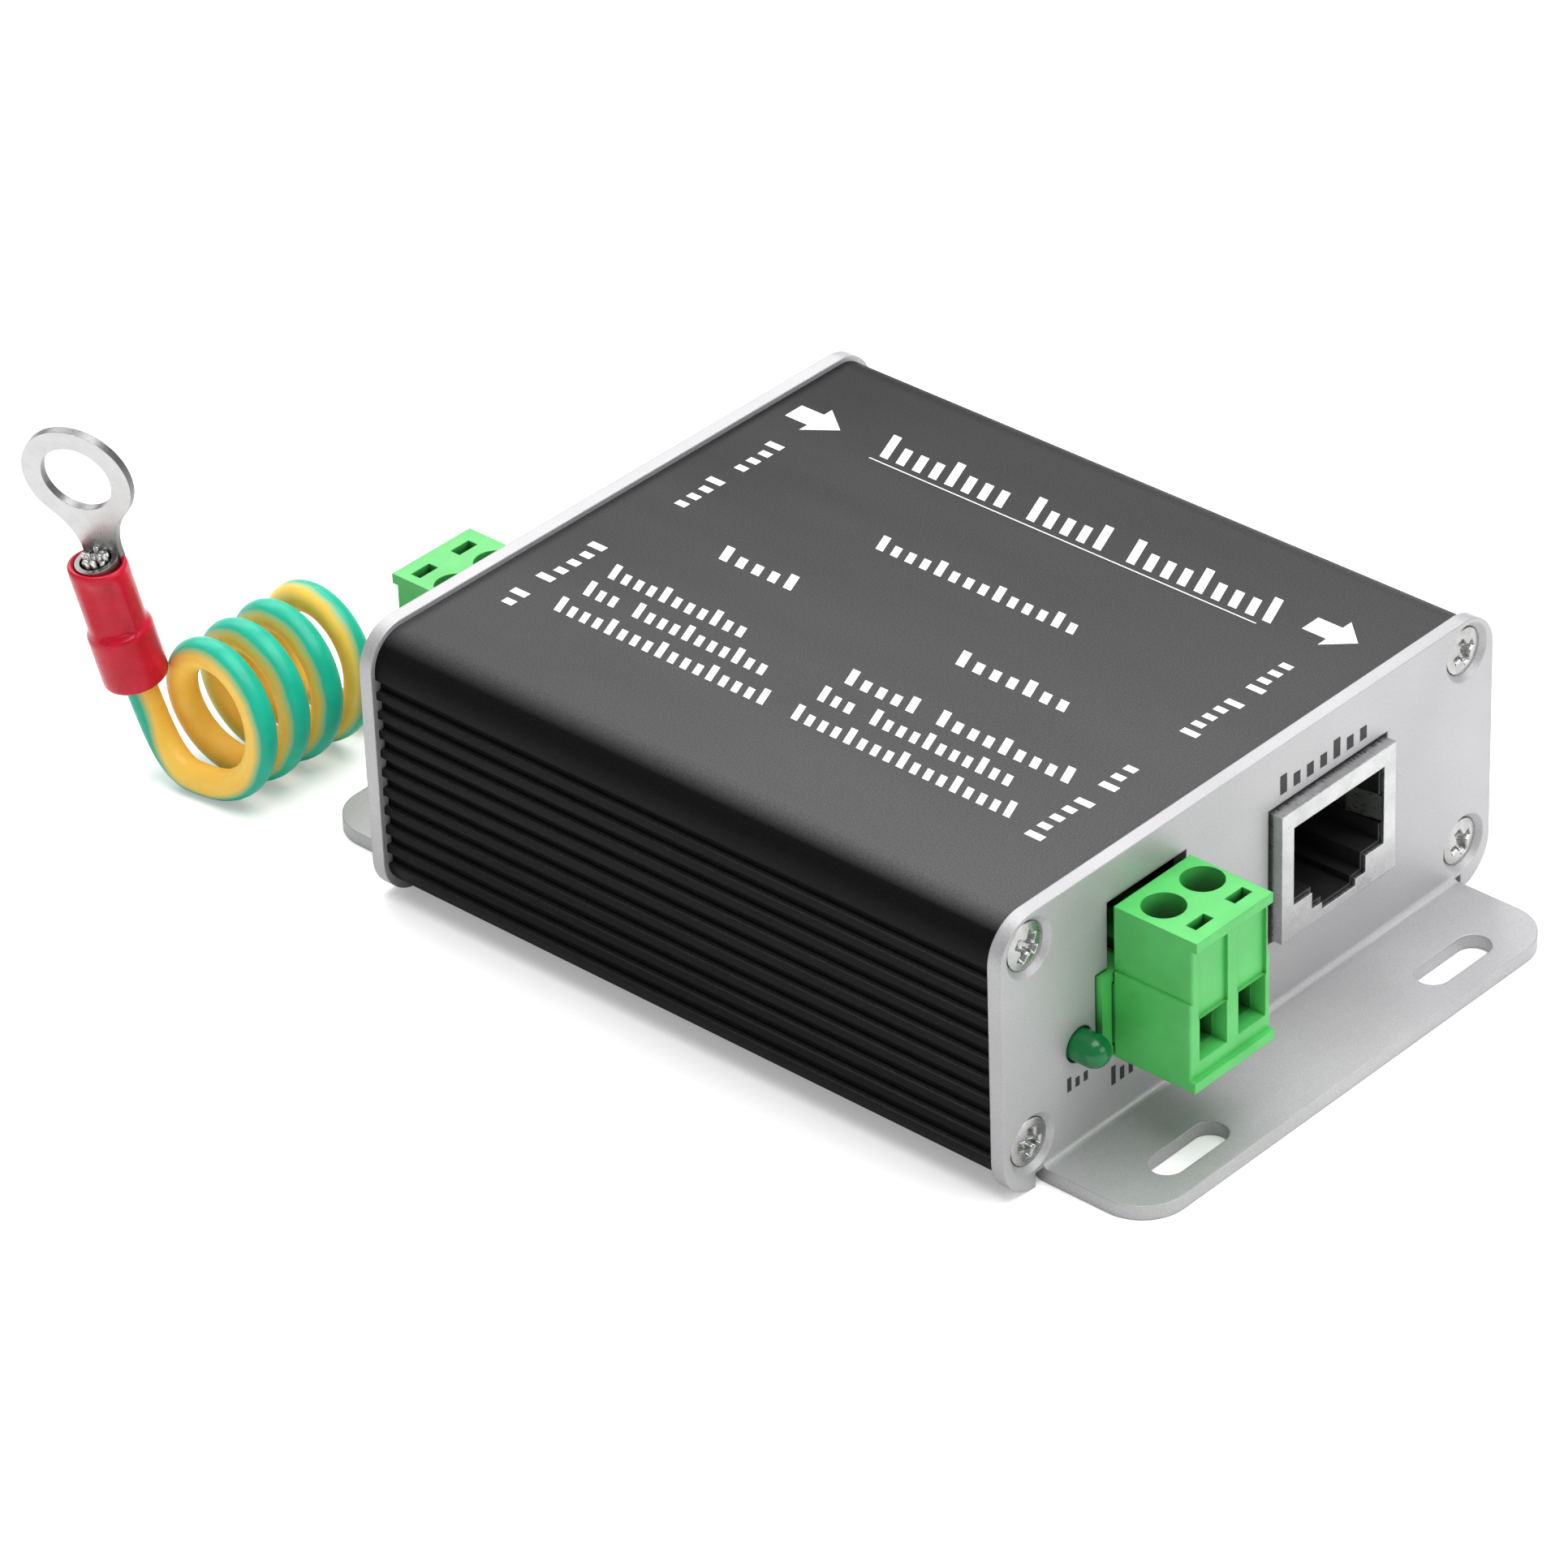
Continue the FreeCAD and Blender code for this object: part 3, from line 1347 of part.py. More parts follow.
fill_sheet()
housing()
both_ends()
master = plate_screw()
plate_screws(master, "out_plate_screws", False)
plate_screws(master, "in_plate_screws", True)
circuit_board()
line_gas_tubes()
suppressor_arrays()
decoupling_resistors()
power_varistors()
power_gas_tube()
thermal_fuses()
indicator()
indicator_legs()
cable_grommet()
earth_terminal()
earth_lead()
earth_coil()
ring_terminal()
ring_sleeve()
wire_strands()
check_and_write()
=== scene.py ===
import math

import bpy
from mathutils import Matrix, Vector


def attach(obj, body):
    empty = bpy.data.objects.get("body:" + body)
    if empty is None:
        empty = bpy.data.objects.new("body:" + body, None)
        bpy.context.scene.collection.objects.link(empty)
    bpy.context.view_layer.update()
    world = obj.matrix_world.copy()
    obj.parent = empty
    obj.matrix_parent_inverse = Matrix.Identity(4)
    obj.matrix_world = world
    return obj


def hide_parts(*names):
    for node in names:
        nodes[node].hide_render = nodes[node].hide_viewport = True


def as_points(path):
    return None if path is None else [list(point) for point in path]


# Looks of a network surge protector: anodised box, sand-blasted end plates, green terminals, a coiled
# green and yellow earth lead and its crimped ring. Places are in metres in the frame of the CAD model,
# written in millimetres times MM.
MM = 0.001
ROOT = "enclosure"

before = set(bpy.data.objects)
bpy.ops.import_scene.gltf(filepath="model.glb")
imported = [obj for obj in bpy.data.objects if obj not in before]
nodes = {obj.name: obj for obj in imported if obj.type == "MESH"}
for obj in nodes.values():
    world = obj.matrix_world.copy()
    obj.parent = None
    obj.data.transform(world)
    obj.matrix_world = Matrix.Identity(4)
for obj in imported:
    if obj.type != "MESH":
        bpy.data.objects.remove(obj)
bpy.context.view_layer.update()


def at(x, y, z):
    """A place that is given in millimetres."""
    return Vector((x, y, z)) * MM


# Camera, light and floor

CAMERA_PLACE = at(-431.65, -385.59, 388.57)
CAMERA_TURN = (56.860, 1.777, -48.125)
SENSOR = 36.0
LENS = 180.08
FILL_LIGHT = 0.40
SHADOW_LIFT = 0.30
FLOOR_HALF = 3.0
FLOOR_GAP = 0.05
WHITE = (1, 1, 1, 1)


def link(thing):
    bpy.context.scene.collection.objects.link(thing)
    return thing


def add_camera():
    """The photograph's viewpoint: a long lens, high above the equipment end's left corner."""
    data = bpy.data.cameras.new("camera")
    data.sensor_width = SENSOR
    data.lens = LENS
    data.clip_start = 0.05
    camera = link(bpy.data.objects.new("camera", data))
    camera.location = CAMERA_PLACE
    camera.rotation_euler = [math.radians(angle) for angle in CAMERA_TURN]
    bpy.context.scene.camera = camera


def add_softbox(name, place, width, height, power):
    """A lamp with a rectangular face, turned to the middle of the box."""
    data = bpy.data.lights.new(name, "AREA")
    data.shape = "RECTANGLE"
    data.size = width
    data.size_y = height
    data.energy = power
    lamp = link(bpy.data.objects.new(name, data))
    lamp.location = place
    lamp.rotation_euler = (at(0, 0, 12) - place).to_track_quat("-Z", "Y").to_euler()


def add_lights():
    """Three lamps, and a white world that is dimmer as a light than it looks behind the object."""
    add_softbox("overhead", at(120, -60, 900), width=0.9, height=0.9, power=12.0)
    add_softbox("front", at(250, -900, 420), width=0.7, height=0.5, power=3.3)
    add_softbox("behind", at(350, 700, 520), width=0.8, height=0.5, power=3.6)
    world = bpy.data.worlds.new("studio")
    bpy.context.scene.world = world
    world.use_nodes = True
    tree = world.node_tree
    background = tree.nodes["Background"]
    seen = tree.nodes.new("ShaderNodeLightPath")
    level = tree.nodes.new("ShaderNodeMapRange")
    level.inputs["To Min"].default_value = FILL_LIGHT
    level.inputs["To Max"].default_value = 1.0
    tree.links.new(seen.outputs["Is Camera Ray"], level.inputs["Value"])
    tree.links.new(level.outputs["Result"], background.inputs["Strength"])
    background.inputs["Color"].default_value = WHITE


def add_floor():
    """White paper just under the object. It glows a little for the camera, which lightens the shadow."""
    corners = [(-1, -1), (1, -1), (1, 1), (-1, 1)]
    mesh = bpy.data.meshes.new("floor")
    places = [(x * FLOOR_HALF, y * FLOOR_HALF, -FLOOR_GAP * MM) for x, y in corners]
    mesh.from_pydata(places, [], [(0, 1, 2, 3)])
    floor = link(bpy.data.objects.new("floor", mesh))
    paper = Finish("floor_paper", roughness=0.9)
    paper.colour(paper.noise(40 * MM), grey(0.86), grey(0.9))
    paper.shader.inputs["Specular IOR Level"].default_value = 0.1
    paper.shader.inputs["Emission Color"].default_value = WHITE
    seen = paper.node("ShaderNodeLightPath").outputs["Is Camera Ray"]
    paper.link(paper.span(seen, 0, SHADOW_LIFT, 0, 1), paper.shader.inputs["Emission Strength"])
    floor.data.materials.append(paper.material)


# Materials

# Sockets of a Mix node that mixes colours: its other kinds have sockets of the same names
MIX_FIRST, MIX_SECOND, MIX_RESULT = 6, 7, 2


class Finish:
    """A surface whose colour, gloss and relief vary as the real one's do; some also get painted shade in
    their colour.
    """

    def __init__(self, name, roughness, metallic=0.0):
        self.material = bpy.data.materials.new(name)
        self.material.use_nodes = True
        self.tree = self.material.node_tree
        self.shader = self.tree.nodes["Principled BSDF"]
        self.shader.inputs["Roughness"].default_value = roughness
        self.shader.inputs["Metallic"].default_value = metallic
        self.place = self.node("ShaderNodeTexCoord").outputs["Object"]

    def node(self, kind):
        return self.tree.nodes.new(kind)

    def link(self, source, target):
        self.tree.links.new(source, target)

    def noise(self, size, detail=2.0, stretch=(1, 1, 1)):
        """Cloudy noise with blobs about size metres across, longer along an axis stretched by more."""
        scaled = self.node("ShaderNodeMapping")
        scaled.inputs["Scale"].default_value = [1 / (size * longer) for longer in stretch]
        self.link(self.place, scaled.inputs["Vector"])
        cloud = self.node("ShaderNodeTexNoise")
        cloud.inputs["Scale"].default_value = 1
        cloud.inputs["Detail"].default_value = detail
        self.link(scaled.outputs["Vector"], cloud.inputs["Vector"])
        return cloud.outputs["Fac"]

    def span(self, value, low, high, start=0.35, end=0.65):
        """Carries a value from start..end to low..high."""
        change = self.node("ShaderNodeMapRange")
        change.inputs["From Min"].default_value = start
        change.inputs["From Max"].default_value = end
        change.inputs["To Min"].default_value = low
        change.inputs["To Max"].default_value = high
        self.link(value, change.inputs["Value"])
        return change.outputs["Result"]

    def blend(self, amount, first, second, start=0.35, end=0.65):
        """A colour that goes from first to second, each a colour or another node's output."""
        mix = self.node("ShaderNodeMix")
        mix.data_type = "RGBA"
        self.link(self.span(amount, 0, 1, start, end), mix.inputs["Factor"])
        for value, entry in ((first, mix.inputs[MIX_FIRST]), (second, mix.inputs[MIX_SECOND])):
            if isinstance(value, tuple):
                entry.default_value = (*value, 1)
            else:
                self.link(value, entry)
        return mix.outputs[MIX_RESULT]

    def colour(self, amount, first, second, start=0.35, end=0.65):
        self.link(self.blend(amount, first, second, start, end), self.shader.inputs["Base Color"])

    def along(self, direction, of=None):
        """The object coordinate, or another vector, measured along a direction."""
        dot = self.node("ShaderNodeVectorMath")
        dot.operation = "DOT_PRODUCT"
        self.link(of or self.place, dot.inputs[0])
        dot.inputs[1].default_value = direction
        return dot.outputs["Value"]

    def paint_crevice_shade(self, reach, deepest_shade, closed=0.06, clear=0.40):
        """Paints shade into the colour deep in a hole or corner, by the share of open sky within reach."""
        shade = self.node("ShaderNodeAmbientOcclusion")
        shade.samples = 8
        shade.inputs["Distance"].default_value = reach
        entry = self.shader.inputs["Base Color"]
        plain = entry.links[0].from_socket
        self.link(self.blend(shade.outputs["AO"], deepest_shade, plain, closed, clear), entry)

    def gloss(self, amount, low, high):
        self.link(self.span(amount, low, high), self.shader.inputs["Roughness"])

    def relief(self, height, depth, edge=0.0):
        """Fine relief of a real depth, on edges that are rounded by a real radius."""
        bump = self.node("ShaderNodeBump")
        bump.inputs["Distance"].default_value = depth
        self.link(height, bump.inputs["Height"])
        if edge:
            rounding = self.node("ShaderNodeBevel")
            rounding.samples = 6
            rounding.inputs["Radius"].default_value = edge
            self.link(rounding.outputs["Normal"], bump.inputs["Normal"])
        self.link(bump.outputs["Normal"], self.shader.inputs["Normal"])

    def soften(self, weight, depth):
        """Lets light spread under the surface, by a real depth."""
        self.shader.inputs["Subsurface Weight"].default_value = weight
        self.shader.inputs["Subsurface Scale"].default_value = depth


def grey(level):
    return (level, level, level)


def housing_finish():
    """Black anodised extrusion with a fine satin grain, and painted light and shade: a lighter top, palest
    at the corner near the camera, over darker sides.
    """
    finish = Finish("housing_anodised", roughness=0.42)
    facing = finish.node("ShaderNodeSeparateXYZ")
    finish.link(finish.node("ShaderNodeTexCoord").outputs["Normal"], facing.inputs["Vector"])
    upward = (0.72, 0.99)
    grain = finish.noise(0.16 * MM, detail=3)
    # Painted light on the top: a lighter copy at the corner near the camera, a darker one at the far
    # corner
    near = finish.blend(grain, (0.046, 0.046, 0.047), (0.086, 0.086, 0.0875), 0.3, 0.7)
    far = finish.blend(grain, (0.007, 0.007, 0.0072), (0.018, 0.018, 0.0184), 0.3, 0.7)
    painted_lit_top = finish.blend(finish.along((1, 1, 0)), near, far, -60 * MM, 60 * MM)
    # Painted shade: the sides, chosen by which way the surface faces, get a darker copy than the top
    painted_shade_sides = finish.blend(grain, (0.003, 0.003, 0.0032), (0.006, 0.006, 0.0063))
    finish.colour(facing.outputs["Z"], painted_shade_sides, painted_lit_top, *upward)
    finish.gloss(finish.noise(9 * MM, stretch=(1, 6, 1)), 0.40, 0.48)
    sheen = finish.span(facing.outputs["Z"], 0.06, 0.13, *upward)
    finish.link(sheen, finish.shader.inputs["Specular IOR Level"])
    finish.relief(grain, 0.006 * MM, edge=0.12 * MM)
    return finish


def plate_finish():
    """Sand-blasted, clear anodised aluminium sheet."""
    finish = Finish("plate_anodised", roughness=0.46, metallic=0.5)
    grain = finish.noise(0.13 * MM, detail=3)
    cloud = finish.noise(14 * MM)
    bright = finish.blend(grain, (0.405, 0.40, 0.41), (0.52, 0.515, 0.525), 0.3, 0.7)
    dull = finish.blend(grain, (0.365, 0.36, 0.37), (0.47, 0.465, 0.475), 0.3, 0.7)
    finish.colour(cloud, dull, bright)
    finish.gloss(grain, 0.40, 0.52)
    finish.relief(grain, 0.012 * MM, edge=0.22 * MM)
    return finish


def metal_finish(name, dark, light, roughness, edge, scratch=(1, 1, 1)):
    """Plated metal: faint brushed or rolled marks and small stains."""
    finish = Finish(name, roughness=roughness, metallic=1.0)
    marks = finish.noise(0.12 * MM, detail=4, stretch=scratch)
    stains = finish.noise(1.7 * MM, detail=3)
    finish.colour(stains, dark, light)
    finish.gloss(marks, roughness * 0.75, roughness * 1.3)
    finish.relief(marks, 0.004 * MM, edge=edge)
    return finish


def plastic_finish(name, dark, light, roughness, grain_size, depth, edge):
    """Moulded plastic with a fine spark-eroded grain and slight flow clouds."""
    finish = Finish(name, roughness=roughness)
    grain = finish.noise(grain_size, detail=2)
    finish.colour(finish.noise(3.5 * MM), dark, light)
    finish.gloss(grain, roughness * 0.88, roughness * 1.12)
    finish.relief(grain, depth, edge=edge)
    return finish


def ring_finish():
    """Tin on punched sheet: even and pale on its faces, with painted shade where the surface turns away
    from the face's direction, as on the cut edges.
    """
    finish = metal_finish("ring_tin", grey(0.50), grey(0.54), 0.34, 0.10 * MM)
    face = finish.shader.inputs["Base Color"].links[0].from_socket
    # Painted shade: the colour darkens as the surface turns away from the ring's face direction
    normal = finish.node("ShaderNodeTexCoord").outputs["Normal"]
    square = finish.node("ShaderNodeMath")
    square.operation = "ABSOLUTE"
    finish.link(finish.along(TERMINAL_FACE, normal), square.inputs[0])
    finish.colour(square.outputs["Value"], grey(0.22), face, 0.35, 0.92)
    return finish


def screw_head_finish():
    """Steel of the plate screws, with painted shade in the cross recess."""
    finish = metal_finish("screw_head_steel", (0.36, 0.36, 0.355), (0.48, 0.48, 0.475), 0.26, 0.05 * MM)
    # Painted shade in the cross recess
    finish.paint_crevice_shade(1.0 * MM, grey(0.03))
    return finish


def green_finish():
    """Green moulding of the terminals, with painted shade in the wells and wire entries."""
    finish = plastic_finish(
        "green_plastic", (0.060, 0.43, 0.086), (0.072, 0.49, 0.105),
        roughness=0.36, grain_size=0.20 * MM, depth=0.004 * MM, edge=0.14 * MM,
    )
    # Painted shade in the wells and wire entries
    finish.paint_crevice_shade(6 * MM, (0.004, 0.035, 0.008))
    finish.soften(0.06, 0.5 * MM)
    return finish


def lens_finish():
    """Tinted clear lens of the lamp."""
    finish = plastic_finish(
        "lens_green", (0.005, 0.15, 0.04), (0.01, 0.24, 0.07),
        roughness=0.16, grain_size=0.5 * MM, depth=0.002 * MM, edge=0.05 * MM,
    )
    finish.shader.inputs["Specular IOR Level"].default_value = 0.3
    finish.shader.inputs["Transmission Weight"].default_value = 0.25
    finish.shader.inputs["IOR"].default_value = 1.5
    return finish


def board_finish():
    """Solder mask over a copper pattern that shows as a slightly lighter green."""
    finish = Finish("board_laminate", roughness=0.35)
    tracks = finish.node("ShaderNodeTexBrick")
    tracks.inputs["Scale"].default_value = 180
    tracks.inputs["Mortar Size"].default_value = 0.08
    tracks.inputs["Color1"].default_value = (0.02, 0.13, 0.05, 1)
    tracks.inputs["Color2"].default_value = (0.03, 0.16, 0.06, 1)
    tracks.inputs["Mortar"].default_value = (0.01, 0.08, 0.03, 1)
    finish.link(finish.place, tracks.inputs["Vector"])
    finish.link(tracks.outputs["Color"], finish.shader.inputs["Base Color"])
    finish.relief(tracks.outputs["Fac"], 0.01 * MM)
    return finish


def insulation_finish():
    """Green and yellow extruded insulation, with a soft edge where the mesh's stripe value is near 0."""
    finish = Finish("wire_insulation", roughness=0.38)
    stripe = finish.node("ShaderNodeAttribute")
    stripe.attribute_name = "stripe"
    cloud = finish.noise(2.2 * MM, detail=2)
    edge = finish.node("ShaderNodeMath")
    edge.operation = "ADD"
    finish.link(stripe.outputs["Fac"], edge.inputs[0])
    finish.link(finish.span(cloud, -0.05, 0.05), edge.inputs[1])
    yellow = finish.blend(cloud, (0.92, 0.57, 0.085), (0.95, 0.63, 0.11))
    green = finish.blend(cloud, (0.006, 0.40, 0.26), (0.010, 0.46, 0.30))
    finish.colour(edge.outputs["Value"], yellow, green, start=-0.20, end=0.36)
    finish.shader.inputs["Specular IOR Level"].default_value = 0.3
    finish.gloss(finish.noise(0.5 * MM), 0.32, 0.42)
    finish.relief(finish.noise(0.8 * MM, stretch=(2, 2, 1)), 0.008 * MM)
    finish.soften(0.12, 0.6 * MM)
    return finish


def sleeve_finish():
    """Soft red vinyl, slightly see-through."""
    finish = Finish("sleeve_red", roughness=0.34)
    finish.colour(finish.noise(2.4 * MM), (0.45, 0.004, 0.020), (0.55, 0.007, 0.030))
    finish.shader.inputs["Specular IOR Level"].default_value = 0.26
    finish.gloss(finish.noise(0.9 * MM), 0.20, 0.28)
    finish.relief(finish.noise(1.6 * MM), 0.012 * MM)
    finish.soften(0.12, 0.8 * MM)
    finish.shader.inputs["Subsurface Radius"].default_value = (1.0, 0.2, 0.2)
    return finish


def ink_finish(name, level):
    """Screen print, slightly worn."""
    finish = Finish(name, roughness=0.55)
    worn = finish.noise(0.25 * MM, detail=3)
    finish.colour(worn, grey(level * 0.86), grey(level))
    finish.relief(worn, 0.004 * MM)
    return finish


# Finishes of the CAD nodes

# Of the plastics inside: material, dark and light colour, roughness, then the grain's size and depth and
# the edges' radius in millimetres, and the nodes
INSIDE_PLASTICS = (
    ("chip_epoxy", grey(0.010), grey(0.022), 0.5, 0.2, 0.005, 0.05,
     ("suppressor_arrays", "decoupling_resistors")),
    ("tube_ceramic", (0.62, 0.60, 0.56), (0.78, 0.76, 0.72), 0.3, 0.4, 0.004, 0.1,
     ("line_gas_tubes", "power_gas_tube")),
    ("varistor_coat", (0.02, 0.08, 0.34), (0.03, 0.12, 0.44), 0.4, 0.5, 0.02, 0.3, ("power_varistors",)),
    ("fuse_body", (0.42, 0.33, 0.20), (0.55, 0.44, 0.28), 0.45, 0.5, 0.01, 0.2, ("thermal_fuses",)),
    ("grommet_black", grey(0.010), grey(0.020), 0.7, 0.2, 0.006, 0.15, ("cable_grommet",)),
)


def wear(finish, *names):
    """Gives CAD nodes a finish in place of their plain one."""
    for name in names:
        slots = nodes[name].data.materials
        slots.clear()
        slots.append(finish.material)


def both(*names):
    """The nodes of these names at both ends of the box."""
    return [f"{end}_{name}" for end in ("out", "in") for name in names]


def dress_box():
    """The box, its board and the lamp."""
    wear(housing_finish(), "housing_extrusion")
    wear(plate_finish(), *both("end_plate"))
    wear(board_finish(), "circuit_board")
    wear(lens_finish(), "status_led")


def dress_metal(tin):
    wear(tin, *both("header_pins", "plug_sockets"), "status_led_legs", "earth_terminal")
    wear(ring_finish(), "ring_terminal")
    steel = metal_finish("screw_steel", (0.46, 0.46, 0.45), (0.66, 0.66, 0.65), 0.30, 0.08 * MM)
    wear(steel, *both("clamp_screw_a", "clamp_screw_b", "clamp_cage_a", "clamp_cage_b"))
    rolled = (1, 8, 1)
    nickel = metal_finish("jack_metal", (0.49, 0.49, 0.495), (0.57, 0.57, 0.575), 0.34, 0.14 * MM, rolled)
    wear(nickel, *both("jack_shield"))
    gold = metal_finish("contact_gold", (0.70, 0.48, 0.16), (0.86, 0.62, 0.24), 0.22, 0.03 * MM)
    wear(gold, *both("jack_contacts"))


def dress_plastic():
    wear(green_finish(), *both("plug_housing", "header"))
    black = plastic_finish(
        "jack_plastic", (0.008, 0.008, 0.009), (0.014, 0.014, 0.015),
        roughness=0.45, grain_size=0.15 * MM, depth=0.004 * MM, edge=0.08 * MM,
    )
    wear(black, *both("jack_insulator"))
    for name, dark, light, roughness, grain, depth, edge, pieces in INSIDE_PLASTICS:
        finish = plastic_finish(name, dark, light, roughness, grain * MM, depth * MM, edge * MM)
        wear(finish, *pieces)


# Mesh helpers


def smooth_step(value, start, end):
    """From 0 at start to 1 at end, level at both."""
    share = min(max((value - start) / (end - start), 0), 1)
    return share * share * (3 - 2 * share)


def angles(around):
    return [2 * math.pi * step / around for step in range(around)]


def ring_faces(rings, around, closed=False):
    """Quads between rings of vertices that follow each other."""
    faces = []
    for ring in range(rings - 1 + closed):
        here, there = ring * around, (ring + 1) % rings * around
        for side in range(around):
            after = (side + 1) % around
            faces.append((here + side, here + after, there + after, there + side))
    return faces


def capped_faces(rings, around, base=0):
    """The sides and both ends of a rod whose rings of vertices begin at base."""
    last = (rings - 1) * around
    ends = [tuple(reversed(range(around))), tuple(range(last, last + around))]
    return [tuple(base + vertex for vertex in face) for face in ring_faces(rings, around) + ends]


def mesh_object(name, vertices, faces, finish, smooth=True):
    mesh = bpy.data.meshes.new(name)
    mesh.from_pydata([tuple(vertex) for vertex in vertices], [], faces)
    mesh.validate()
    if smooth:
        mesh.shade_smooth()
    mesh.materials.append(finish.material)
    return link(bpy.data.objects.new(name, mesh))


# Earth lead: the route of its centreline, as in the CAD model

WIRE = 2.95 * MM
LEAD = [at(-2.5, 29.0, 10.5), at(-2.5, 43.0, 10.5)]
COIL_START = -30.6
COIL_PITCH = 4.2
COIL_TURNS = 4.08
COIL_RADIUS = 6.1
COIL_Y, COIL_Z = 60.0, 7.6
POINTS_A_TURN = 16
TAIL_LOW = at(-31.0, 63.6, 1.5)
TAIL_BEND, TAIL_TOP = 4.4, 7.1
TERMINAL_FOOT = at(-31.36, 67.91, 10.19)
TERMINAL_UP = Vector((-0.208, 0.068, 0.976)).normalized()
TERMINAL_FACE = Vector((-0.941, -0.321, -0.105))

# How far the stripe turns round the wire, in degrees: everywhere, then on the turns at the lead, counted
# from the ring's end, and then back on the last stretch, in millimetres before the wire's end
STRIPE_LEAN, LEAD_LEAN, TAIL_TWIST = 25, 53, 76
LEAD_LEAN_TURNS = (2.7, 3.9)
TAIL_TWIST_REACH = (9, 21)


def terminal_frame():
    """Local Z up the terminal, local Y along the ring's face."""
    face = (TERMINAL_FACE - TERMINAL_UP * TERMINAL_FACE.dot(TERMINAL_UP)).normalized()
    across = face.cross(TERMINAL_UP)
    turn = Matrix((across, face, TERMINAL_UP)).transposed().to_4x4()
    return Matrix.Translation(TERMINAL_FOOT) @ turn


def coil_points():
    """From the lead's end back to the ring's end. The control points lie outside the turns."""
    reach = COIL_RADIUS / math.cos(math.pi / POINTS_A_TURN)
    count = round(COIL_TURNS * POINTS_A_TURN)
    points = []
    for step in range(count, -1, -1):
        turn = COIL_TURNS * step / count
        angle = 2 * math.pi * turn
        y = COIL_Y - reach * math.sin(angle)
        z = COIL_Z - reach * math.cos(angle)
        points.append(at(COIL_START + COIL_PITCH * turn, y, z))
    return points


def tail_points():
    """From the coil to a bend below the terminal's foot, and up to the end in the crimp barrel."""
    bend = TERMINAL_FOOT - TERMINAL_UP * TAIL_BEND * MM
    top = TERMINAL_FOOT + TERMINAL_UP * TAIL_TOP * MM
    return [TAIL_LOW, bend, top]


def smooth_line(points):
    """The NURBS spline through these control points, read back as points."""
    curve = bpy.data.curves.new("route", "CURVE")
    curve.dimensions = "3D"
    curve.resolution_u = 8
    spline = curve.splines.new("NURBS")
    spline.points.add(len(points) - 1)
    for point, place in zip(spline.points, points):
        point.co = (*place, 1)
    spline.order_u = 3
    spline.use_endpoint_u = True
    route = link(bpy.data.objects.new("route", curve))
    depsgraph = bpy.context.evaluated_depsgraph_get()
    mesh = bpy.data.meshes.new_from_object(route.evaluated_get(depsgraph))
    line = [vertex.co.copy() for vertex in mesh.vertices]
    bpy.data.objects.remove(route)
    bpy.data.meshes.remove(mesh)
    return line


def outward(point, along):
    """Away from the coil's axis, square to the wire."""
    away = Vector((0, point.y - COIL_Y * MM, point.z - COIL_Z * MM))
    return (away - along * away.dot(along)).normalized()


def stripe_turn(point, to_end):
    """How far the green leans from the coil's outside towards the lead's end, in radians.

    It leans a little on most turns and nearly all the way on the turn at the lead, and it leans to
    the other side on the way up to the sleeve."""
    turn = (point.x / MM - COIL_START) / COIL_PITCH
    lean = STRIPE_LEAN + LEAD_LEAN * smooth_step(turn, *LEAD_LEAN_TURNS)
    return math.radians(lean - TAIL_TWIST * (1 - smooth_step(to_end / MM, *TAIL_TWIST_REACH)))


def wire_mesh(line, finish):
    """The insulated wire round its centreline, with the stripe as a value on each vertex."""
    around = 24
    steps = [(b - a).length for a, b in zip(line, line[1:])]
    to_end = [sum(steps[index:]) for index in range(len(line))]
    vertices, stripe = [], []
    for index, point in enumerate(line):
        before, after = line[max(index - 1, 0)], line[min(index + 1, len(line) - 1)]
        along = (after - before).normalized()
        out = outward(point, along)
        side = along.cross(out)
        lean = stripe_turn(point, to_end[index])
        for angle in angles(around):
            vertices.append(point + (out * math.cos(angle) + side * math.sin(angle)) * WIRE / 2)
            stripe.append(math.cos(angle + lean))
    wire = mesh_object("earth_wire", vertices, capped_faces(len(line), around), finish)
    value = wire.data.attributes.new("stripe", "FLOAT", "POINT")
    value.data.foreach_set("value", stripe)
    return wire


def add_wire():
    line = smooth_line(LEAD + coil_points() + tail_points())
    wire = wire_mesh(line, insulation_finish())
    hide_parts("earth_wire_lead", "earth_wire_coil", "earth_wire_tail")
    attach(wire, ROOT)
    return wire, line


# Ring terminal's sleeve, in millimetres above the terminal's foot and round its axis

SLEEVE_LENGTH = 12.6
BELL_RADIUS, THROAT_RADIUS, MOUTH_RADIUS = 3.1, 2.72, 2.74
BELL_STEP = (5.4, 6.6)
MOUTH_FLARE = (9.0, 12.4)
MOUTH_LIFT, MOUTH_SLANT, MOUTH_SIDE = 0.60, 0.45, 48
CRIMP_LOW, CRIMP_HIGH = (5.9, 6.3), (10.6, 12.2)

# The tool's marks and the bulge between them: the middle in degrees, the depth, half the width in
# radians and how sharp the edge is
CRIMP_MARKS = ((116, 0.60, 0.60, 8), (298, 0.45, 0.68, 6), (70, -0.08, 0.5, 2))

# How the outside rounds in at both ends, by height, and the height and radius of each ring inside
SLEEVE_RIM = {0.0: -0.16, 0.12: -0.04, 12.45: -0.05, SLEEVE_LENGTH: -0.18}
SLEEVE_INSIDE = (
    (12.62, 2.45), (12.5, 2.2), (12.2, 2.07), (10.5, 2.05),
    (9.0, 1.6), (2.0, 1.55), (1.4, 2.0), (0.1, 2.45), (0.0, 2.6),
)


def sleeve_outside(height):
    """The sleeve's outer radius before it was crimped: a bell, a narrower throat and the mouth."""
    step = smooth_step(height, *BELL_STEP)
    flare = smooth_step(height, *MOUTH_FLARE)
    return BELL_RADIUS + (THROAT_RADIUS - BELL_RADIUS) * step + (MOUTH_RADIUS - THROAT_RADIUS) * flare


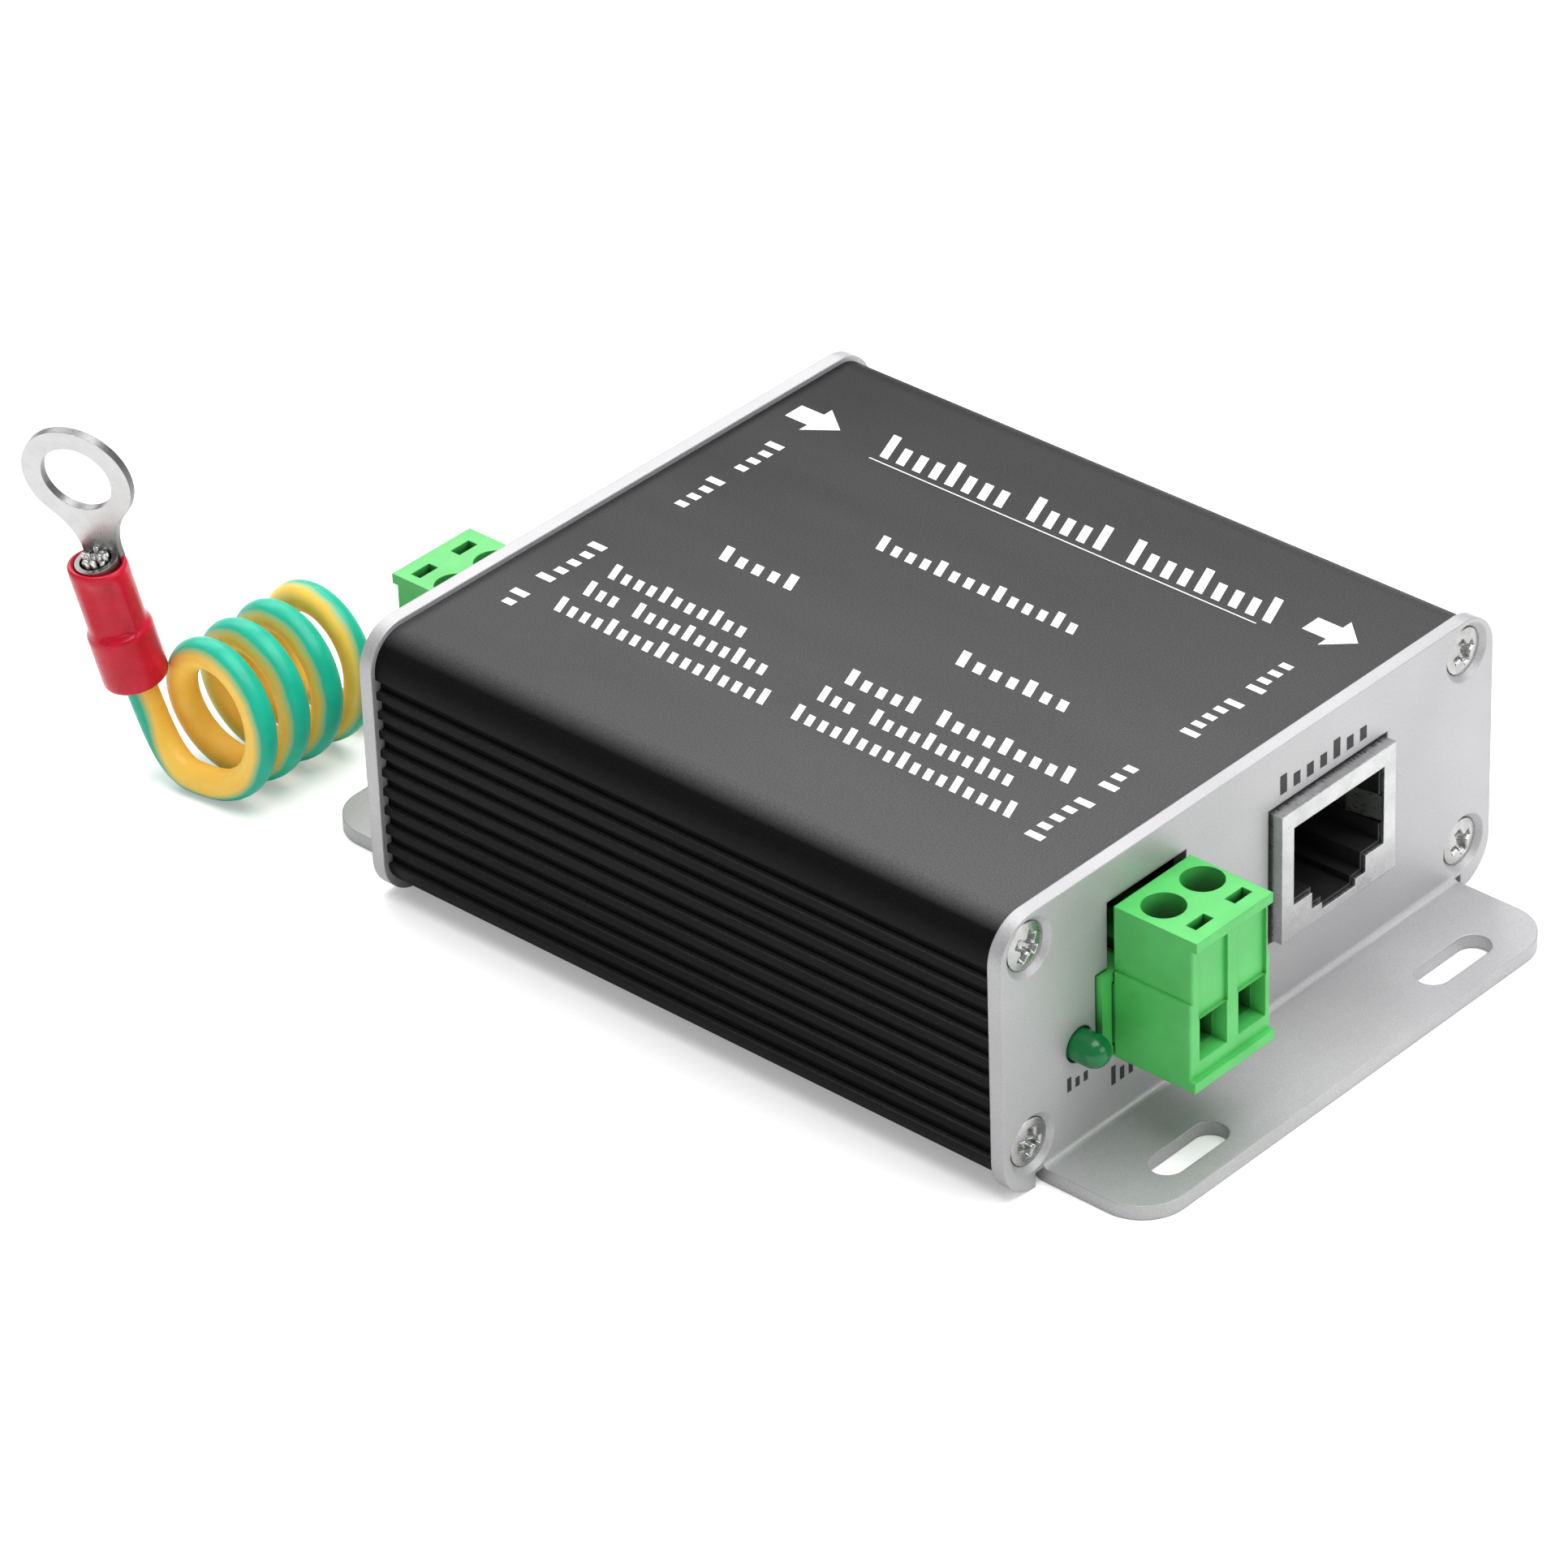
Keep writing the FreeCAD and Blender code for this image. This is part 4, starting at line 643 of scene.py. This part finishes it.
def crimp(angle, height):
    """How deep the crimping tool pressed, front and back."""
    lengthwise = smooth_step(height, *CRIMP_LOW) * (1 - smooth_step(height, *CRIMP_HIGH))
    depth = 0.0
    for middle, most, half, sharpness in CRIMP_MARKS:
        off = math.radians((math.degrees(angle) - middle + 180) % 360 - 180)
        depth += most * math.exp(-((abs(off) / half) ** sharpness))
    return depth * lengthwise


def mouth_lift(angle, height):
    """The mouth was cut askew: further up on the outer side."""
    share = smooth_step(height, *MOUTH_FLARE)
    return share * (MOUTH_LIFT + MOUTH_SLANT * math.cos(angle - math.radians(MOUTH_SIDE)))


def sleeve_heights():
    """Heights of the rings outside, closer together where the form turns."""
    bell = [0.0, 0.12, 0.4, 1.5, 3.0, 4.4]
    step = [5.0 + 0.2 * ring for ring in range(4)] + [5.75 + 0.09 * ring for ring in range(8)] + [6.6, 6.8]
    throat = [7.0 + 0.5 * ring for ring in range(11)]
    return bell + step + throat + [12.45, SLEEVE_LENGTH]


def add_sleeve():
    """The crimped sleeve: bell round the insulation, pressed middle, open mouth at the barrel."""
    around = 72
    rings = [(height, None) for height in sleeve_heights()] + list(SLEEVE_INSIDE)
    place = terminal_frame()
    vertices = []
    for height, inside in rings:
        for angle in angles(around):
            reach = inside or sleeve_outside(height) + SLEEVE_RIM.get(height, 0) - crimp(angle, height)
            up = height + mouth_lift(angle, height)
            vertices.append(place @ at(reach * math.cos(angle), reach * math.sin(angle), up))
    faces = ring_faces(len(rings), around, closed=True)
    sleeve = mesh_object("ring_sleeve_crimped", vertices, faces, sleeve_finish())
    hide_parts("ring_sleeve")
    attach(sleeve, ROOT)
    return sleeve


# Bare strands, in millimetres above the terminal's foot

# Of each ring of strands: how many, its radius and the first one's angle in degrees
STRAND_RINGS = ((1, 0.0, 0), (5, 0.52, 20), (10, 1.06, 5))
STRAND_FOOT, STRAND_BEND, STRAND_TOP = 7.2, 13.2, 14.0
STRAND_RADIUS = 0.26
STRAND_LEAN = 0.10


def strand_places():
    """Where the strands stand in the barrel: one in the middle and two rings round it."""
    places = []
    for count, reach, start in STRAND_RINGS:
        for step in range(count):
            angle = math.radians(start + 360 * step / count)
            places.append((reach * math.cos(angle), reach * math.sin(angle)))
    return places


def strand_stops(index, y):
    """Height, lean and radius along one strand. The ends lie at slightly different heights."""
    top = STRAND_TOP + 0.32 * math.sin(2.4 * index) + 0.12 * y
    straight = [(STRAND_FOOT, 0.0, STRAND_RADIUS), (STRAND_BEND, 0.0, STRAND_RADIUS)]
    return straight + [(top - 0.06, 1.0, 0.25), (top, 1.05, 0.20)]


def add_strands(finish):
    """Tinned strands that stand past the barrel's mouth, each bent its own way."""
    around = 10
    place = terminal_frame()
    vertices, faces = [], []
    for index, (x, y) in enumerate(strand_places()):
        lean_x, lean_y = STRAND_LEAN * math.sin(1.7 * index), STRAND_LEAN * math.cos(2.9 * index)
        stops = strand_stops(index, y)
        faces += capped_faces(len(stops), around, base=len(vertices))
        for height, lean, radius in stops:
            for angle in angles(around):
                strand_x = x + lean_x * lean + radius * math.cos(angle)
                strand_y = y + lean_y * lean + radius * math.sin(angle)
                vertices.append(place @ at(strand_x, strand_y, height))
    strands = mesh_object("earth_strands", vertices, faces, finish)
    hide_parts("earth_wire_strands")
    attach(strands, ROOT)
    return strands


# Plate screws: raised countersunk heads with a cross recess, and threaded shanks, in millimetres

SCREW_FACE = 36.35
SCREW_X, SCREW_LOW, SCREW_HIGH = 29.3, 4.6, 24.4
SCREW_ANGLES = (12, 68, 35, -20)
SCREW_HEAD, SCREW_SHANK, SCREW_LENGTH = 2.25, 1.35, 8.0
SCREW_DOME = 0.34
HEAD_RINGS, HEAD_MIDDLE = 22, 0.05
THREAD_PITCH, THREAD_DEPTH = 0.6, 0.25
THREAD_RINGS, THREAD_STEP = 44, 0.15
RECESS_ARM, RECESS_REACH, RECESS_MIDDLE = 0.44, 1.42, 0.78
RECESS_DEPTH, RECESS_TAPER = 1.15, 0.35
RECESS_WALL = (-0.04, 0.26)


def recess(u, v):
    """How deep the cross recess goes below the head at a place on it."""
    beside = min(RECESS_REACH - abs(u), RECESS_ARM - abs(v))
    upright = min(RECESS_REACH - abs(v), RECESS_ARM - abs(u))
    off_middle = math.hypot(u, v)
    inside = max(beside, upright, RECESS_MIDDLE - off_middle)
    return (RECESS_DEPTH - RECESS_TAPER * off_middle) * smooth_step(inside, *RECESS_WALL)


def head_rings(around):
    """Rings of the domed head with its recess, from the middle out."""
    rings = []
    for step in range(HEAD_RINGS):
        radius = HEAD_MIDDLE + (SCREW_HEAD - HEAD_MIDDLE) * step / (HEAD_RINGS - 1)
        dome = SCREW_DOME * (1 - (radius / SCREW_HEAD) ** 2)
        places = [(radius * math.cos(angle), radius * math.sin(angle)) for angle in angles(around)]
        rings.append([(u, recess(u, v) - dome, v) for u, v in places])
    return rings


def shank_rings(around):
    """Rings from the head's rim down its cone and along the thread to the tip."""
    cone = SCREW_HEAD - SCREW_SHANK
    stops = [(0.08, SCREW_HEAD)] + [(cone + THREAD_STEP * step, None) for step in range(THREAD_RINGS)]
    stops += [(7.6, 1.1), (SCREW_LENGTH, 0.8)]
    rings = []
    for depth, radius in stops:
        ring = []
        for side, angle in enumerate(angles(around)):
            turn = (depth / THREAD_PITCH + side / around) % 1
            reach = radius or SCREW_SHANK - THREAD_DEPTH * abs(2 * turn - 1)
            ring.append((reach * math.cos(angle), depth, reach * math.sin(angle)))
        rings.append(ring)
    return rings


def add_plate_screws(end, finish):
    """The four screws of a plate, each stopped at its own angle."""
    around = 72
    rings = head_rings(around) + shank_rings(around)
    turned = Matrix.Rotation(math.pi if end == "in" else 0, 4, "Z")
    places = [(x, z) for z in (SCREW_LOW, SCREW_HIGH) for x in (-SCREW_X, SCREW_X)]
    vertices, faces = [], []
    for (x, z), angle in zip(places, SCREW_ANGLES):
        turn = Matrix.Rotation(math.radians(angle), 4, "Y")
        place = turned @ Matrix.Translation(at(x, -SCREW_FACE, z)) @ turn
        faces += capped_faces(len(rings), around, base=len(vertices))
        vertices += [place @ at(*point) for ring in rings for point in ring]
    screws = mesh_object(f"{end}_cross_screws", vertices, faces, finish)
    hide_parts(f"{end}_plate_screws")
    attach(screws, ROOT)


# Print, as plain blocks and shapes, in millimetres

TOP = 27.2
PLATE_FACE = -36.8
INK = 0.02

# Of each line that runs towards -Y: its lower left corner, length, height and the blocks in each group
TOP_LINES = (
    (18.8, 22.2, 46.1, 3.7, (8, 5, 9)),
    (6.6, 11.9, 23.6, 2.2, (14,)),
    (-3.4, 21.6, 9.5, 2.2, (5,)),
    (-3.4, -6.0, 13.2, 2.2, (7,)),
    (-11.9, 27.0, 16.6, 2.2, (11,)),
    (-15.3, 26.8, 21.9, 2.2, (3, 11)),
    (-18.8, 27.0, 25.3, 2.2, (17,)),
    (-11.7, -0.6, 26.0, 2.2, (5, 9)),
    (-15.2, -0.6, 22.3, 2.2, (3, 11)),
    (-18.8, -0.8, 25.3, 2.2, (17,)),
)
TOP_SLANT = 0.4

# Of each line that runs along X: its lower left corner, its signed length, which way is up, and the groups
SIDE_LINES = (
    (15.0, 29.4, -14.3, 1, (4, 4)),
    (-7.8, 30.0, -13.3, 1, (5, 2)),
    (0.2, -28.2, 14.8, -1, (5, 4)),
    (-20.2, -28.2, 14.4, -1, (5, 3)),
)
SIDE_HEIGHT = 1.8
UNDERLINE = [(17.98, 22.3), (17.98, -22.4), (18.12, -22.4), (18.12, 22.3)]

# Of each line on the end plate: its lower left corner, length, height and the groups
PLATE_LINES = (
    (3.1, 22.7, 12.7, 1.9, (7,)),
    (-25.0, 7.3, 3.2, 1.4, (3,)),
    (-19.3, 4.9, 3.4, 1.9, (3,)),
)

# Which share of its pitch a block fills, and how high a short block is beside a tall one
BLOCK_SHARE = (0.24, 0.74)
SHORT_BLOCK = 0.68


def flat_shape(name, outlines, lift, finish):
    """Thin ink shapes: each outline is a list of corners, carried to its place by lift."""
    vertices, faces = [], []
    for outline in outlines:
        base = len(vertices)
        vertices += [lift(x, y) for x, y in outline]
        faces.append(tuple(range(base, base + len(outline))))
    shape = mesh_object(name, vertices, faces, finish, smooth=False)
    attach(shape, ROOT)


def cells(start, along, across, height, words, slant=0.0):
    """Plain blocks in groups, in place of a line of print: start is the line's lower left corner.

    The first block of each group is full height, and the rest are shorter with a taller one here and
    there, so that the line keeps the grey of print. Slant tips the blocks back against the line."""
    length = sum(words) + len(words) - 1
    pitch = [part / length for part in along]
    lean = [-slant * part / math.hypot(*along) for part in along]
    outlines = []
    index = 0
    for word in words:
        for place in range(word):
            rise = height * (1.0 if place % 4 == 0 else SHORT_BLOCK)
            foot = [[start[i] + pitch[i] * (index + share) for i in (0, 1)] for share in BLOCK_SHARE]
            head = [[point[i] + (across[i] + lean[i]) * rise for i in (0, 1)] for point in reversed(foot)]
            outlines.append(foot + head)
            index += 1
        index += 1
    return outlines


def arrow(x, y, half_shaft, half_head, shaft, head):
    """An arrow that points towards -Y from its tail at y."""
    neck, tip = y - shaft, y - shaft - head
    left = [(x - half_shaft, y), (x - half_shaft, neck), (x - half_head, neck), (x, tip)]
    return left + [(x + half_head, neck), (x + half_shaft, neck), (x + half_shaft, y)]


def top_print():
    def lift(x, y):
        return at(x, y, TOP + INK)

    lines = []
    for x, y, length, height, words in TOP_LINES:
        lines += cells((x, y), (0, -length), (1, 0), height, words, slant=TOP_SLANT)
    for x, y, length, upward, words in SIDE_LINES:
        lines += cells((x, y), (length, 0), (0, upward), SIDE_HEIGHT, words)
    lines.append(arrow(20.0, 33.2, half_shaft=1.15, half_head=2.25, shaft=2.7, head=3.0))
    lines.append(arrow(21.05, -26.0, half_shaft=1.15, half_head=2.35, shaft=2.7, head=2.6))
    flat_shape("top_print", lines + [UNDERLINE], lift, ink_finish("print_white", 0.80))


def plate_print():
    def lift(x, z):
        return at(x, PLATE_FACE - INK, z)

    lines = []
    for x, z, length, height, words in PLATE_LINES:
        lines += cells((x, z), (length, 0), (0, 1), height, words)
    flat_shape("plate_print", lines, lift, ink_finish("print_black", 0.012))


add_camera()
add_lights()
add_floor()
tin_finish = metal_finish("tinned_metal", (0.62, 0.62, 0.61), (0.82, 0.82, 0.81), 0.26, 0.10 * MM)
dress_box()
dress_metal(tin_finish)
dress_plastic()
wire, centreline = add_wire()
sleeve = add_sleeve()
strands = add_strands(tin_finish)
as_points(centreline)
head_steel = screw_head_finish()
for end in ("out", "in"):
    add_plate_screws(end, head_steel)
top_print()
plate_print()
bpy.context.scene.view_settings.view_transform = "Standard"
